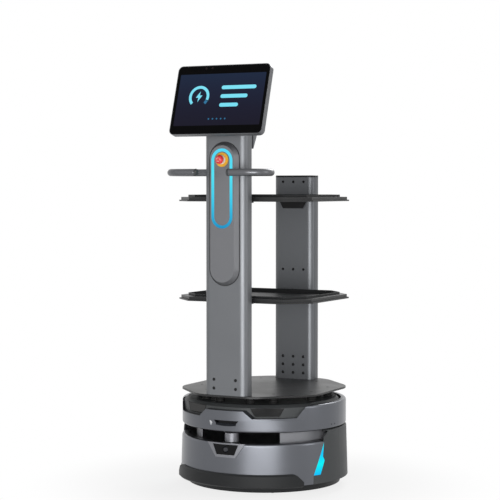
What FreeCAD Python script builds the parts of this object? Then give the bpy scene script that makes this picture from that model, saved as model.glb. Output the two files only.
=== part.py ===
import FreeCAD, Part
import math
import operator
import os
import Sketcher

# Delivery robot: a round wheeled base with a deck, two columns, two shelves, a display and a handle.
# Lengths are in millimetres and angles in degrees. +Z is up and the front faces -Y. The origin is on the
# floor in the middle of the overall box, and the base's turning axis stands a little behind it.
# Levels are heights above the floor. Depths and reaches are measured from the turning axis.

DIMENSIONS = (
    ("fit_gap", 0.3, "gap between pieces that seat in each other"),
    ("running_gap", 0.05, "radial gap of a shaft in its bore"),
    ("seam", 0.6, "joint line between the lower shell and the rear cover"),
    ("ground_clearance", 14, "floor to the underside of the tray"),
    ("pan_inset", 24, "underbody tray's floor, in from the lower shell's foot"),
    ("tray_flare", 10, "how much wider the tray is at its top"),
    ("tray_wall", 4, "wall of the underbody tray"),
    ("plate_level", 60, "underside of the chassis plate"),
    ("plate_thick", 6, "thickness of the chassis plate"),
    ("lower_bottom", 36, "lower edge of the lower shell"),
    ("lower_top", 166, "top of the lower shell"),
    ("lower_radius", 263, "lower shell, at its top"),
    ("lower_flare", 4, "how much wider the lower shell is at its bottom"),
    ("lower_rim", 23, "width of the lower shell's top flange"),
    ("shell_wall", 4, "wall of the shells and covers"),
    ("shell_round", 8, "rounding of the shells' upper edges"),
    ("bumper_bottom", 30, "lower edge of the bumper"),
    ("bumper_height", 43, "height of the bumper"),
    ("bumper_thick", 8.7, "thickness of the bumper"),
    ("bumper_edge", 5, "bevel along the bumper's edges"),
    ("bumper_end", 165, "how far ahead of the axis the bumper ends"),
    ("bumper_cut", 21, "how much shorter the bumper is along its top"),
    ("bumper_cut_height", 25, "height of the cut at the bumper's end"),
    ("cover_top", 198, "top of the rear cover"),
    ("cover_proud", 1, "how far the rear cover stands out from the lower shell"),
    ("cover_foot", 127, "front edge of the rear cover at its bottom, ahead of the axis"),
    ("cover_shoulder", 80, "front edge of the rear cover above the light, ahead of the axis"),
    ("cover_shoulder_level", 179, "where that edge starts to bend back"),
    ("cover_crown", 58, "front end of the rear cover's top, ahead of the axis"),
    ("light_foot_front", 125, "front corner of the side light's foot"),
    ("light_foot_back", 100, "rear corner of the side light's foot"),
    ("light_foot_level", 63, "level of the side light's foot"),
    ("light_bulge", 82, "widest point of the side light's rear edge"),
    ("light_bulge_level", 105, "level of that point"),
    ("light_notch", 88, "notch in the side light's rear edge"),
    ("light_notch_level", 118, "level of the notch"),
    ("light_tip", 83, "tip of the side light"),
    ("light_tip_level", 160, "level of the tip"),
    ("bezel_half_top", 65, "half width of the camera bezel along its top"),
    ("bezel_half_bottom", 34, "half width of the camera bezel along its bottom"),
    ("bezel_bottom", 122, "lower edge of the camera bezel"),
    ("bezel_proud", 1.5, "how far the camera bezel stands out"),
    ("bezel_deep", 9, "depth of the camera bezel"),
    ("window_half_top", 44, "half width of the camera window along its top"),
    ("window_half_bottom", 31, "half width of the camera window along its bottom"),
    ("window_bottom", 130, "lower edge of the camera window"),
    ("window_top", 162, "upper edge of the camera window"),
    ("lens_radius", 9, "camera lens"),
    ("lens_level", 146, "height of the camera lens"),
    ("bay_inset", 15, "floor of the lidar bay, in from the lower shell's top"),
    ("bay_floor", 4, "thickness of the lidar bay's floor"),
    ("neck_inset", 47, "neck wall, in from the lower shell's top"),
    ("neck_opening", 40, "half angle of the neck's open front"),
    ("neck_overlap", 4, "how far the neck reaches up into the upper shell"),
    ("lidar_inset", 43, "lidar's axis, in from the lower shell's top"),
    ("lidar_radius", 22, "lidar head"),
    ("lidar_height", 28, "height of the lidar head"),
    ("lidar_flange", 26, "radius of the lidar's base"),
    ("lidar_flange_thick", 4, "thickness of the lidar's base"),
    ("lidar_spigot", 8, "radius of the post that carries the lidar head"),
    ("upper_bottom", 200, "lower edge of the upper shell"),
    ("upper_top", 280, "upper edge of the upper shell"),
    ("upper_inset", 1, "upper shell, in from the lower shell's top"),
    ("upper_wall", 16, "wall of the upper shell"),
    ("upper_round", 6, "rounding of the upper shell's lower edge"),
    ("visor_ahead", 18, "how far the visor stands out ahead of the upper shell"),
    ("visor_radius", 244, "curve of the visor"),
    ("visor_bottom", 239, "lower edge of the visor"),
    ("visor_top", 268, "upper edge of the visor"),
    ("notch_floor", 245, "bottom of the notches beside the visor"),
    ("notch_inner_low", 91, "inner end of a notch at its bottom"),
    ("notch_inner_high", 51, "inner end of a notch at the shell's top"),
    ("notch_outer_low", 201, "outer end of a notch at its bottom"),
    ("notch_outer_high", 219, "outer end of a notch at the shell's top"),
    ("slot_half_top", 43, "half width of the sensor slot along its top"),
    ("slot_half_bottom", 35, "half width of the sensor slot along its bottom"),
    ("slot_top", 235, "upper edge of the sensor slot"),
    ("slot_bottom", 226.5, "lower edge of the sensor slot"),
    ("pane_angle", 29, "turn of a notch window from the front"),
    ("pane_half_top", 52, "half width of a notch window along its top"),
    ("pane_half_bottom", 37, "half width of a notch window along its bottom"),
    ("pane_bottom", 250, "lower edge of a notch window"),
    ("pane_top", 275, "upper edge of a notch window"),
    ("pane_thick", 4, "thickness of a notch window"),
    ("pane_recess", 4, "notch window, in from the panel round it"),
    ("pane_gap", 1.5, "gap round a notch window"),
    ("lid_top", 284, "top of the cover under the deck"),
    ("lid_bevel", 15, "bevel round the top of that cover"),
    ("lid_seat", 4.3, "how far the flange that stands on the neck reaches inside it"),
    ("panel_inset", 5, "notch panels of that cover, in from the upper shell"),
    ("panel_slope", 8, "height of the slope above the notch panels"),
    ("panel_crown", 14, "width of the slope above the notch panels"),
    ("ledge_bottom", 218, "outer edge of the sloped ledge under the sensor slot"),
    ("ledge_depth", 8, "how far in the sloped ledge goes"),
    ("sensor_recess", 1, "slot sensor, in from the ledge's inner edge"),
    ("post_inset", 41, "circle of the deck spacers, in from the cover's wall"),
    ("post_radius", 11, "radius of a deck spacer"),
    ("deck_level", 313, "top of the deck"),
    ("deck_thick", 6, "thickness of the deck"),
    ("deck_half_width", 238, "deck, side to side"),
    ("deck_half_length", 268, "deck, front to back"),
    ("deck_front_half", 95, "half length of the deck's front and rear edges"),
    ("deck_side_half", 128, "half length of the deck's side edges"),
    ("deck_corner", 100, "rounding of the deck's corners"),
    ("deck_edge", 1.5, "rounding of the deck's upper edge"),
    ("battery_width", 180, "battery, side to side"),
    ("battery_length", 150, "battery, front to back"),
    ("battery_height", 72, "battery"),
    ("battery_back", 100, "battery's middle behind the axis"),
    ("controller_width", 160, "controller, side to side"),
    ("controller_length", 120, "controller, front to back"),
    ("controller_height", 40, "controller"),
    ("controller_ahead", 115, "controller's middle ahead of the axis"),
    ("box_round", 5, "rounding of the battery and controller"),
    ("wheel_radius", 70, "drive wheel"),
    ("tyre_width", 40, "width of a drive tyre"),
    ("tyre_shoulder", 6, "rounding bevel of the tyre's shoulders"),
    ("tyre_groove", 2, "depth of the tread grooves"),
    ("hub_radius", 55, "wheel hub, under the tyre"),
    ("hub_width", 36, "width of the wheel hub"),
    ("hub_dish", 5, "dish of the hub's faces"),
    ("wheel_offset", 168, "middle of a drive wheel from the axis"),
    ("well_gap", 8, "room round a drive wheel in its well"),
    ("well_inner", 106, "inner edge of the wheel wells"),
    ("axle_radius", 7, "drive axle"),
    ("axle_collar", 11, "radius of the drive axle's collar"),
    ("arm_offset", 121, "middle of a swing arm from the axis"),
    ("arm_thick", 10, "thickness of a swing arm"),
    ("arm_end", 16, "radius of a swing arm's wheel end"),
    ("pivot_end", 14, "radius of a swing arm's pivot end"),
    ("pivot_back", 108, "swing arm pivot behind the axis"),
    ("pivot_level", 95, "height of the swing arm pivot"),
    ("pin_radius", 6, "swing arm pin"),
    ("cheek", 6.5, "thickness of a bracket's cheeks"),
    ("cheek_gap", 0.5, "side play of an arm between the cheeks"),
    ("bracket_foot", 6, "thickness of a bracket's foot"),
    ("bracket_top", 8, "thickness of a bracket's spring plate"),
    ("bracket_half", 20, "half length of a bracket's foot"),
    ("spring_back", 50, "spring behind the axis"),
    ("spring_seat", 98, "level of the spring's lower seat"),
    ("spring_length", 40, "length of the spring"),
    ("spring_radius", 10, "mean radius of the spring's coil"),
    ("spring_wire", 1.6, "radius of the spring's wire"),
    ("spring_turns", 5, "turns of the spring"),
    ("seat_half", 13, "half width of the spring's seat"),
    ("caster_side", 98, "caster swivel to the side of the axis"),
    ("caster_margin", 14, "tray floor left outside the openings of the casters"),
    ("caster_trail", 16, "caster wheel behind its swivel"),
    ("caster_radius", 22, "caster wheel"),
    ("caster_width", 18, "width of a caster wheel"),
    ("caster_axle", 4, "radius of the caster wheel's axle stubs"),
    ("caster_leg", 3, "thickness of the fork's legs"),
    ("caster_play", 1, "side gap between caster wheel and fork"),
    ("caster_bridge", 3, "thickness of the fork's bridge"),
    ("caster_headroom", 2, "gap between caster wheel and bridge"),
    ("caster_stem", 5, "radius of the swivel stem"),
    ("caster_flange", 25, "radius of the caster housing's flange"),
    ("caster_boss", 15, "radius of the caster housing"),
    ("caster_room", 44, "radius of the openings that the casters swivel in"),
    ("column_margin", 1, "deck left outside a column"),
    ("column_width", 145, "column, side to side"),
    ("column_depth", 56, "column, front to back"),
    ("column_wall", 4, "wall of the columns"),
    ("column_corner", 21, "outer corner of the columns"),
    ("front_column_top", 1144, "top of the front column"),
    ("rear_column_top", 983, "top of the rear column, under its cap"),
    ("cap_thick", 6, "thickness of the rear column's cap"),
    ("cap_plug", 12, "depth of the cap's plug"),
    ("foot_height", 90, "height of the feet inside the columns"),
    ("foot_wall", 8, "wall of the feet"),
    ("bolt_radius", 3.3, "clearance hole for an M6 screw"),
    ("bolt_half", 37.5, "outer holes of a row from its middle"),
    ("first_row", 334, "lowest row of holes"),
    ("row_step", 27, "step between the rows over the foot"),
    ("bay_step", 290, "step to the rows for another shelf"),
    ("pod_bottom", 651, "lower end of the pod"),
    ("pod_top", 1087, "upper end of the pod"),
    ("pod_width", 101, "width of the pod on the column"),
    ("pod_depth", 17, "how far the pod stands out"),
    ("pod_draft", 29, "slope of the pod's walls"),
    ("ring_bottom", 825, "lower end of the light ring"),
    ("ring_top", 1068, "upper end of the light ring"),
    ("ring_width", 72, "width of the light ring"),
    ("ring_band", 9, "width of the ring's band"),
    ("ring_deep", 3, "depth of the ring's groove"),
    ("ring_proud", 2, "how far the ring stands out"),
    ("ring_round", 1.6, "rounding of the ring's front edges"),
    ("stop_level", 1034, "height of the emergency stop"),
    ("stop_disc", 22, "radius of the yellow disc"),
    ("stop_disc_thick", 2, "thickness of the yellow disc"),
    ("stop_barrel", 11, "radius of the stop's barrel"),
    ("stop_barrel_deep", 45, "depth of the barrel behind the pod's face"),
    ("stop_collar", 14, "radius of the collar"),
    ("stop_collar_thick", 7, "thickness of the collar"),
    ("stop_stem", 6, "radius of the stem"),
    ("stop_spigot", 4, "radius of the spigot that the head turns on"),
    ("stop_head", 13.5, "radius of the red head"),
    ("stop_head_thick", 11, "height of the red head"),
    ("stop_travel", 4, "travel of the emergency stop"),
    ("handle_level", 995, "height of the handle"),
    ("handle_tube", 11, "radius of the handle's tube"),
    ("handle_reach", 108, "handle's front run ahead of the column's middle"),
    ("handle_half", 165, "half width of the handle, at the tube's middle"),
    ("handle_end", 53, "free ends of the handle from the middle"),
    ("neck_width", 140, "width of the neck behind the display"),
    ("neck_foot", 1068, "lower end of the neck on the column's back"),
    ("neck_back", 41, "how far the neck stands out behind the column"),
    ("neck_back_level", 1140, "level where it stands out most"),
    ("neck_up", 80, "neck's upper end from the display's middle"),
    ("neck_down", 55, "neck's lower end from the display's middle"),
    ("neck_tip", 20, "depth of the neck at its upper end"),
    ("neck_round", 12, "rounding of the neck's rear edges"),
    ("display_ahead", 60, "middle of the display's face ahead of the front column's middle"),
    ("display_level", 1216, "middle of the display"),
    ("display_tilt", 17.3, "lean of the display"),
    ("display_width", 318, "display"),
    ("display_height", 222, "display"),
    ("display_thick", 26, "display with its glass"),
    ("display_corner", 16, "corners of the display"),
    ("display_round", 8, "rounding of the display's back"),
    ("glass_rim", 1.5, "metal rim round the glass"),
    ("glass_thick", 3, "cover glass"),
    ("glass_edge", 0.8, "rounding of the glass's edge"),
    ("lower_shelf_level", 594, "underside of the lower shelf"),
    ("upper_shelf_level", 906, "underside of the upper shelf"),
    ("shelf_half_length", 236, "shelf carrier, side to side"),
    ("shelf_gap", 6, "gap between a shelf carrier and the columns"),
    ("shelf_cut", 70, "cut corners of the shelf carrier"),
    ("carrier_plate", 4.5, "thickness of the shelf carrier's plate"),
    ("border_inset", 6, "shelf carrier's raised border, in from its edge"),
    ("border_height", 9, "height of the raised border"),
    ("tray_inset", 27, "inside of the border, in from the carrier's edge"),
    ("tray_height", 16, "height of the tray"),
    ("rim_wall", 3, "wall of the tray's rim"),
    ("tray_floor", 2.5, "floor of the tray"),
    ("bracket_half_top", 50, "half width of a shelf bracket along its top"),
    ("bracket_half_bottom", 36, "half width of a shelf bracket along its bottom"),
    ("bracket_height", 26, "height of a shelf bracket"),
    ("bracket_depth", 40, "depth of a shelf bracket under its shelf"),
    ("bracket_sheet", 4, "sheet of a shelf bracket"),
)
POST_ANGLES = (15, 35, 73, 109, 150)
SIDES = (("right", 1), ("left", -1))
CASTERS = (
    ("front_right", 1, -1),
    ("front_left", -1, -1),
    ("rear_right", 1, 1),
    ("rear_left", -1, 1),
)
OPERATIONS = {"+": operator.add, "-": operator.sub, "*": operator.mul, "/": operator.truediv}
TOLERANCE = 0.001
# Cuts run past what they cut, and a block that a cut trims to a ring starts short of it, by these factors.
PAST = 1.2
SHORT = 0.9
X_AXIS = FreeCAD.Vector(1, 0, 0)
Y_AXIS = FreeCAD.Vector(0, 1, 0)
Z_AXIS = FreeCAD.Vector(0, 0, 1)


class Size:
    """A size as a number, and as the formula on the sheet's cells that the document keeps."""

    def __init__(self, value, text):
        self.value = value
        self.text = text

    def __add__(self, other):
        return combine(self, "+", other)

    def __radd__(self, other):
        return combine(other, "+", self)

    def __sub__(self, other):
        return combine(self, "-", other)

    def __rsub__(self, other):
        return combine(other, "-", self)

    def __mul__(self, other):
        return combine(self, "*", other)

    def __rmul__(self, other):
        return combine(other, "*", self)

    def __truediv__(self, other):
        return combine(self, "/", other)

    def __neg__(self):
        return combine(0, "-", self)


def size_of(thing):
    if isinstance(thing, Size):
        return thing
    return Size(float(thing), f"({float(thing)})")


def combine(left, sign, right):
    left = size_of(left)
    right = size_of(right)
    return Size(OPERATIONS[sign](left.value, right.value), f"({left.text} {sign} {right.text})")


def sine(angle):
    angle = size_of(angle)
    return Size(math.sin(math.radians(angle.value)), f"sin({angle.text} * 1 deg)")


def cosine(angle):
    angle = size_of(angle)
    return Size(math.cos(math.radians(angle.value)), f"cos({angle.text} * 1 deg)")


def other_leg(longest, leg):
    """Other short side of a right-angled triangle."""
    value = math.sqrt(longest.value ** 2 - leg.value ** 2)
    return Size(value, f"sqrt({longest.text} * {longest.text} - {leg.text} * {leg.text})")


class Sizes:
    """The driving dimensions, each under its own name."""


doc = FreeCAD.newDocument("delivery_robot")
sheet = doc.addObject("Spreadsheet::Sheet", "Dims")
d = Sizes()
for row, (name, number, meaning) in enumerate(DIMENSIONS, 1):
    sheet.set(f"A{row}", meaning)
    sheet.set(f"B{row}", str(number))
    sheet.setAlias(f"B{row}", name)
    setattr(d, name, Size(float(number), f"Dims.{name}"))
doc.recompute()
nodes = []

# Outsides of the round pieces of the base
SHELL_FOOT = d.lower_radius + d.lower_flare
PAN_RADIUS = SHELL_FOOT - d.pan_inset
BUMPER_RADIUS = SHELL_FOOT + d.fit_gap + d.bumper_thick
BAY_RADIUS = d.lower_radius - d.bay_inset
NECK_RADIUS = d.lower_radius - d.neck_inset
UPPER_RADIUS = d.lower_radius - d.upper_inset
UPPER_INNER = UPPER_RADIUS - d.upper_wall
LID_RADIUS = UPPER_INNER - d.fit_gap
BEYOND = BUMPER_RADIUS * PAST

# The columns stand at the ends of the deck. The handle reaches furthest forward and the deck furthest
# back, and the origin lies halfway.
COLUMN_FACE = d.column_depth / 2
COLUMN_REACH = d.deck_half_length - COLUMN_FACE - d.column_margin
DISPLAY_REACH = COLUMN_REACH + d.display_ahead
FRONT_REACH = COLUMN_REACH + d.handle_reach + d.handle_tube
AXIS_Y = (FRONT_REACH - d.deck_half_length) / 2


def bind(thing, prop, size):
    thing.setExpression(prop, size_of(size).text)


def place(thing, x=0, y=0, z=0, axis=Z_AXIS, angle=0):
    """Set a piece down at a point measured from the turning axis on the floor, turned about an axis."""
    turn = FreeCAD.Rotation(axis, size_of(angle).value)
    thing.Placement = FreeCAD.Placement(FreeCAD.Vector(), turn)
    if isinstance(angle, Size):
        thing.setExpression("Placement.Rotation.Angle", f"{angle.text} * 1 deg")
    bind(thing, "Placement.Base.x", x)
    bind(thing, "Placement.Base.y", y + AXIS_Y)
    bind(thing, "Placement.Base.z", z)
    return thing


def node(piece):
    """Keep a finished piece, or a group of like pieces, as one node of the part."""
    nodes.append(piece)
    return piece


def group(name, members):
    bundle = doc.addObject("Part::Compound", name)
    bundle.Label = name
    bundle.Links = members
    return node(bundle)


def start_body(name):
    body = doc.addObject("PartDesign::Body", name)
    body.Label = name
    return body


def sketch_on(body, plane, offset=0):
    """A sketch on one of the body's origin planes, moved along its normal: XY up, XZ forward, YZ right."""
    sketch = body.newObject("Sketcher::SketchObject", f"{body.Name}_sketch")
    support = [item for item in body.Origin.OriginFeatures if item.Role == f"{plane}_Plane"][0]
    sketch.AttachmentSupport = [(support, "")]
    sketch.MapMode = "FlatFace"
    bind(sketch, "AttachmentOffset.Base.z", offset)
    return sketch


def turn_sketch(sketch, offset, side, angle):
    """Turn a sketch on the XZ plane about the upright axis, towards one side."""
    turn = FreeCAD.Rotation(Y_AXIS * side, angle.value)
    sketch.AttachmentOffset = FreeCAD.Placement(FreeCAD.Vector(), turn)
    sketch.setExpression("AttachmentOffset.Rotation.Angle", f"{angle.text} * 1 deg")
    bind(sketch, "AttachmentOffset.Base.x", offset * sine(angle) * side)
    bind(sketch, "AttachmentOffset.Base.z", offset * cosine(angle))


def constrain(sketch, kind, size, *where):
    number = sketch.addConstraint(Sketcher.Constraint(kind, *where, size.value))
    bind(sketch, f"Constraints[{number}]", size)


def fix(sketch, geometry, point, x, y):
    """Hold a point of the sketch at x and y from the sketch's origin."""
    constrain(sketch, "DistanceX", x, -1, 1, geometry, point)
    constrain(sketch, "DistanceY", y, -1, 1, geometry, point)


def polygon(sketch, corners):
    corners = [(size_of(x), size_of(y)) for x, y in corners]
    points = [FreeCAD.Vector(x.value, y.value, 0) for x, y in corners]
    lines = []
    for start, end in zip(points, points[1:] + points[:1]):
        lines.append(sketch.addGeometry(Part.LineSegment(start, end), False))
    for line, following in zip(lines, lines[1:] + lines[:1]):
        sketch.addConstraint(Sketcher.Constraint("Coincident", line, 2, following, 1))
    for line, (x, y) in zip(lines, corners):
        fix(sketch, line, 1, x, y)


def rectangle(sketch, left, right, low, high):
    polygon(sketch, [(left, low), (right, low), (right, high), (left, high)])


def rounded_rectangle(sketch, half_x, half_y, corner):
    """A rectangle with rounded corners about the sketch's origin."""
    quarter = math.pi / 2
    arcs = []
    for index, (across, up) in enumerate(((1, 1), (-1, 1), (-1, -1), (1, -1))):
        x = across * (half_x - corner)
        y = up * (half_y - corner)
        curve = Part.Circle(FreeCAD.Vector(x.value, y.value, 0), Z_AXIS, corner.value)
        arc = sketch.addGeometry(Part.ArcOfCircle(curve, index * quarter, (index + 1) * quarter), False)
        arcs.append((arc, x, y))
    for (arc, _, _), (following, _, _) in zip(arcs, arcs[1:] + arcs[:1]):
        ends = (sketch.Geometry[arc].EndPoint, sketch.Geometry[following].StartPoint)
        line = sketch.addGeometry(Part.LineSegment(*ends), False)
        sketch.addConstraint(Sketcher.Constraint("Tangent", arc, 2, line, 1))
        sketch.addConstraint(Sketcher.Constraint("Tangent", line, 2, following, 1))
    for arc, x, y in arcs:
        constrain(sketch, "Radius", corner, arc)
        fix(sketch, arc, 3, x, y)


def trapezium(sketch, half_low, half_high, low, high):
    polygon(sketch, [(-half_low, low), (half_low, low), (half_high, high), (-half_high, high)])


def circle(sketch, x, y, radius):
    x = size_of(x)
    y = size_of(y)
    radius = size_of(radius)
    centre = FreeCAD.Vector(x.value, y.value, 0)
    round_line = sketch.addGeometry(Part.Circle(centre, Z_AXIS, radius.value), False)
    constrain(sketch, "Radius", radius, round_line)
    fix(sketch, round_line, 3, x, y)


def stadium(sketch, width, low, high):
    """An upright outline with straight sides and half-round ends."""
    radius = width / 2
    half_turn = math.pi
    top = Part.Circle(FreeCAD.Vector(0, (high - radius).value, 0), Z_AXIS, radius.value)
    bottom = Part.Circle(FreeCAD.Vector(0, (low + radius).value, 0), Z_AXIS, radius.value)
    upper = sketch.addGeometry(Part.ArcOfCircle(top, 0, half_turn), False)
    lower = sketch.addGeometry(Part.ArcOfCircle(bottom, half_turn, 2 * half_turn), False)
    upper_arc = sketch.Geometry[upper]
    lower_arc = sketch.Geometry[lower]
    left = sketch.addGeometry(Part.LineSegment(upper_arc.EndPoint, lower_arc.StartPoint), False)
    right = sketch.addGeometry(Part.LineSegment(lower_arc.EndPoint, upper_arc.StartPoint), False)
    for first, second in ((upper, left), (left, lower), (lower, right), (right, upper)):
        sketch.addConstraint(Sketcher.Constraint("Tangent", first, 2, second, 1))
    sketch.addConstraint(Sketcher.Constraint("Equal", upper, lower))
    constrain(sketch, "Radius", radius, upper)
    fix(sketch, upper, 3, size_of(0), high - radius)
    fix(sketch, lower, 3, size_of(0), low + radius)


def pad(body, sketch, length, both_ways=False, draft=None):
    feature = body.newObject("PartDesign::Pad", f"{body.Name}_pad")
    feature.Profile = sketch
    feature.SideType = "Symmetric" if both_ways else "One side"
    bind(feature, "Length", length)
    if draft is not None:
        bind(feature, "TaperAngle", -draft)
    doc.recompute()


def pocket(body, sketch, depth, both_ways=False, upward=False):
    before = body.Shape.Volume
    feature = body.newObject("PartDesign::Pocket", f"{body.Name}_pocket")
    feature.Profile = sketch
    feature.SideType = "Symmetric" if both_ways else "One side"
    feature.Reversed = upward
    bind(feature, "Length", depth)
    doc.recompute()
    if body.Shape.Volume > before - TOLERANCE:
        raise RuntimeError(f"{body.Label}: a pocket cuts nothing")


def revolve(body, sketch):
    feature = body.newObject("PartDesign::Revolution", f"{body.Name}_turned")
    feature.Profile = sketch
    feature.ReferenceAxis = (sketch, ["V_Axis"])
    feature.Angle = 360
    doc.recompute()


def turned(name, outline):
    """A piece of revolution about its own Z axis, from corners given as radius and height."""
    body = start_body(name)
    sketch = sketch_on(body, "XZ")
    polygon(sketch, outline)
    revolve(body, sketch)
    return body


def fillet(body, radius, wanted):
    doc.recompute()
    base = body.Tip
    edges = [f"Edge{index}" for index, edge in enumerate(base.Shape.Edges, 1) if wanted(edge)]
    if not edges:
        raise RuntimeError(f"{body.Label}: no edge to round")
    feature = body.newObject("PartDesign::Fillet", f"{body.Name}_fillet")
    feature.Base = (base, edges)
    bind(feature, "Radius", radius)
    doc.recompute()


def close(first, second):
    return abs(first - second) < TOLERANCE


def along(direction, test=None):
    """Picks straight edges that run along a direction, and that pass the test if one is given."""
    def wanted(edge):
        if not isinstance(edge.Curve, Part.Line):
            return False
        parallel = close(abs(edge.Curve.Direction.dot(direction)), 1)
        return parallel and (test is None or test(edge.CenterOfMass))
    return wanted


def ring_at(radius, level):
    """Picks round edges about the Z axis of that radius at that height."""
    def wanted(edge):
        if not isinstance(edge.Curve, Part.Circle):
            return False
        same_size = close(edge.Curve.Radius, size_of(radius).value)
        return same_size and close(edge.Curve.Center.z, size_of(level).value)
    return wanted


def lying_at(axis_index, position):
    """Picks edges that lie wholly in a plane across one axis."""
    def wanted(edge):
        box = edge.BoundBox
        low = (box.XMin, box.YMin, box.ZMin)[axis_index]
        high = (box.XMax, box.YMax, box.ZMax)[axis_index]
        return close(low, size_of(position).value) and close(high, size_of(position).value)
    return wanted


def shell_radius(level):
    """Outside of the lower shell at a level: it widens towards the floor."""
    slope = d.lower_flare / (d.lower_top - d.lower_bottom)
    return d.lower_radius + slope * (d.lower_top - level)


def keep_ring(body, level, depth, inner, outer):
    """Trim a body to what lies between two radii about the turning axis."""
    trim = sketch_on(body, "XY", level)
    circle(trim, 0, 0, inner)
    circle(trim, 0, 0, outer)
    circle(trim, 0, 0, outer * PAST * PAST)
    pocket(body, trim, depth)


# Underbody and chassis plate

PLATE_TOP = d.plate_level + d.plate_thick
WELL_LENGTH = d.wheel_radius + d.well_gap
CASTER_CIRCLE = PAN_RADIUS - d.caster_room - d.caster_margin
CASTER_AHEAD = other_leg(CASTER_CIRCLE, d.caster_side)
WELL_OUTER = d.wheel_offset + d.tyre_width / 2 + d.well_gap


def wheel_wells(sketch):
    """The openings that a drive wheel and its arm reach down through, one on each side."""
    for _, side in SIDES:
        inner = side * d.well_inner
        outer = side * WELL_OUTER
        polygon(sketch, [
            (inner, -WELL_LENGTH),
            (outer, -WELL_LENGTH),
            (outer, WELL_LENGTH),
            (inner, WELL_LENGTH),
        ])


def make_chassis_tray():
    low = d.ground_clearance
    top_radius = PAN_RADIUS + d.tray_flare
    tray = turned("chassis_tray", [
        (0, low),
        (PAN_RADIUS, low),
        (top_radius, d.plate_level),
        (top_radius - d.tray_wall, d.plate_level),
        (PAN_RADIUS - d.tray_wall, low + d.tray_wall),
        (0, low + d.tray_wall),
    ])
    openings = sketch_on(tray, "XY", d.plate_level)
    wheel_wells(openings)
    for _, across, back in CASTERS:
        circle(openings, across * d.caster_side, back * CASTER_AHEAD, d.caster_room)
    pocket(tray, openings, d.plate_level)
    node(place(tray))


def make_chassis_plate():
    plate = start_body("chassis_plate")
    outline = sketch_on(plate, "XY", d.plate_level)
    circle(outline, 0, 0, shell_radius(PLATE_TOP) - d.shell_wall - d.fit_gap)
    wheel_wells(outline)
    pad(plate, outline, d.plate_thick)
    node(place(plate))


# Lower shell, rear cover, bumper and side lights

def shell_outline(radius_at, top, proud):
    """Half section of a thin wall with a flange turned in along its top."""
    foot = radius_at(d.lower_bottom) + proud
    crown = radius_at(top) + proud
    under = radius_at(top - d.shell_wall) + proud
    return [
        (foot, d.lower_bottom),
        (crown, top),
        (crown - d.lower_rim, top),
        (crown - d.lower_rim, top - d.shell_wall),
        (under - d.shell_wall, top - d.shell_wall),
        (foot - d.shell_wall, d.lower_bottom),
    ]


def bezel_outline(sketch, grow):
    trapezium(sketch, d.bezel_half_bottom + grow, d.bezel_half_top + grow, d.bezel_bottom - grow, d.lower_top)


def make_lower_shell():
    shell = turned("lower_shell", shell_outline(shell_radius, d.lower_top, 0))
    fillet(shell, d.shell_round, ring_at(shell_radius(d.lower_top), d.lower_top))
    behind = sketch_on(shell, "YZ")
    polygon(behind, [
        (-d.cover_foot, 0),
        (-d.cover_foot, d.lower_bottom),
        (-d.light_foot_front, d.light_foot_level),
        (-d.light_tip, d.light_tip_level),
        (-d.cover_shoulder, d.cover_shoulder_level),
        (BEYOND, d.cover_shoulder_level),
        (BEYOND, 0),
    ])
    pocket(shell, behind, BEYOND * 2, both_ways=True)
    camera = sketch_on(shell, "XZ", BEYOND)
    bezel_outline(camera, d.fit_gap)
    pocket(shell, camera, BEYOND - NECK_RADIUS)
    node(place(shell))


def make_rear_cover():
    cover = turned("rear_cover", shell_outline(shell_radius, d.cover_top, d.cover_proud))
    fillet(cover, d.shell_round, ring_at(shell_radius(d.cover_top) + d.cover_proud, d.cover_top))
    ahead = sketch_on(cover, "YZ")
    polygon(ahead, [
        (-BEYOND, 0),
        (d.seam - d.cover_foot, 0),
        (d.seam - d.cover_foot, d.lower_bottom),
        (d.seam - d.light_foot_front, d.light_foot_level - d.seam),
        (-d.light_foot_back, d.light_foot_level - d.seam),
        (d.seam - d.light_bulge, d.light_bulge_level),
        (d.seam - d.light_notch, d.light_notch_level),
        (d.seam - d.light_tip, d.light_tip_level),
        (d.seam - d.cover_shoulder, d.cover_shoulder_level),
        (-d.cover_crown, d.cover_top),
        (-d.cover_crown, d.cover_top * PAST),
        (-BEYOND, d.cover_top * PAST),
    ])
    pocket(cover, ahead, BEYOND * 2, both_ways=True)
    node(place(cover))


def make_front_bumper():
    inner = SHELL_FOOT + d.fit_gap
    low = d.bumper_bottom
    top = d.bumper_bottom + d.bumper_height
    bumper = turned("front_bumper", [
        (inner, low),
        (BUMPER_RADIUS - d.bumper_edge, low),
        (BUMPER_RADIUS, low + d.bumper_edge),
        (BUMPER_RADIUS, top - d.bumper_edge),
        (BUMPER_RADIUS - d.bumper_edge, top),
        (inner, top),
    ])
    behind = sketch_on(bumper, "YZ")
    polygon(behind, [
        (-d.bumper_end, 0),
        (-d.bumper_end, top - d.bumper_cut_height),
        (-d.bumper_end - d.bumper_cut, top),
        (-d.bumper_end - d.bumper_cut, top * PAST),
        (BEYOND, top * PAST),
        (BEYOND, 0),
    ])
    pocket(bumper, behind, BEYOND * 2, both_ways=True)
    node(place(bumper))


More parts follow.
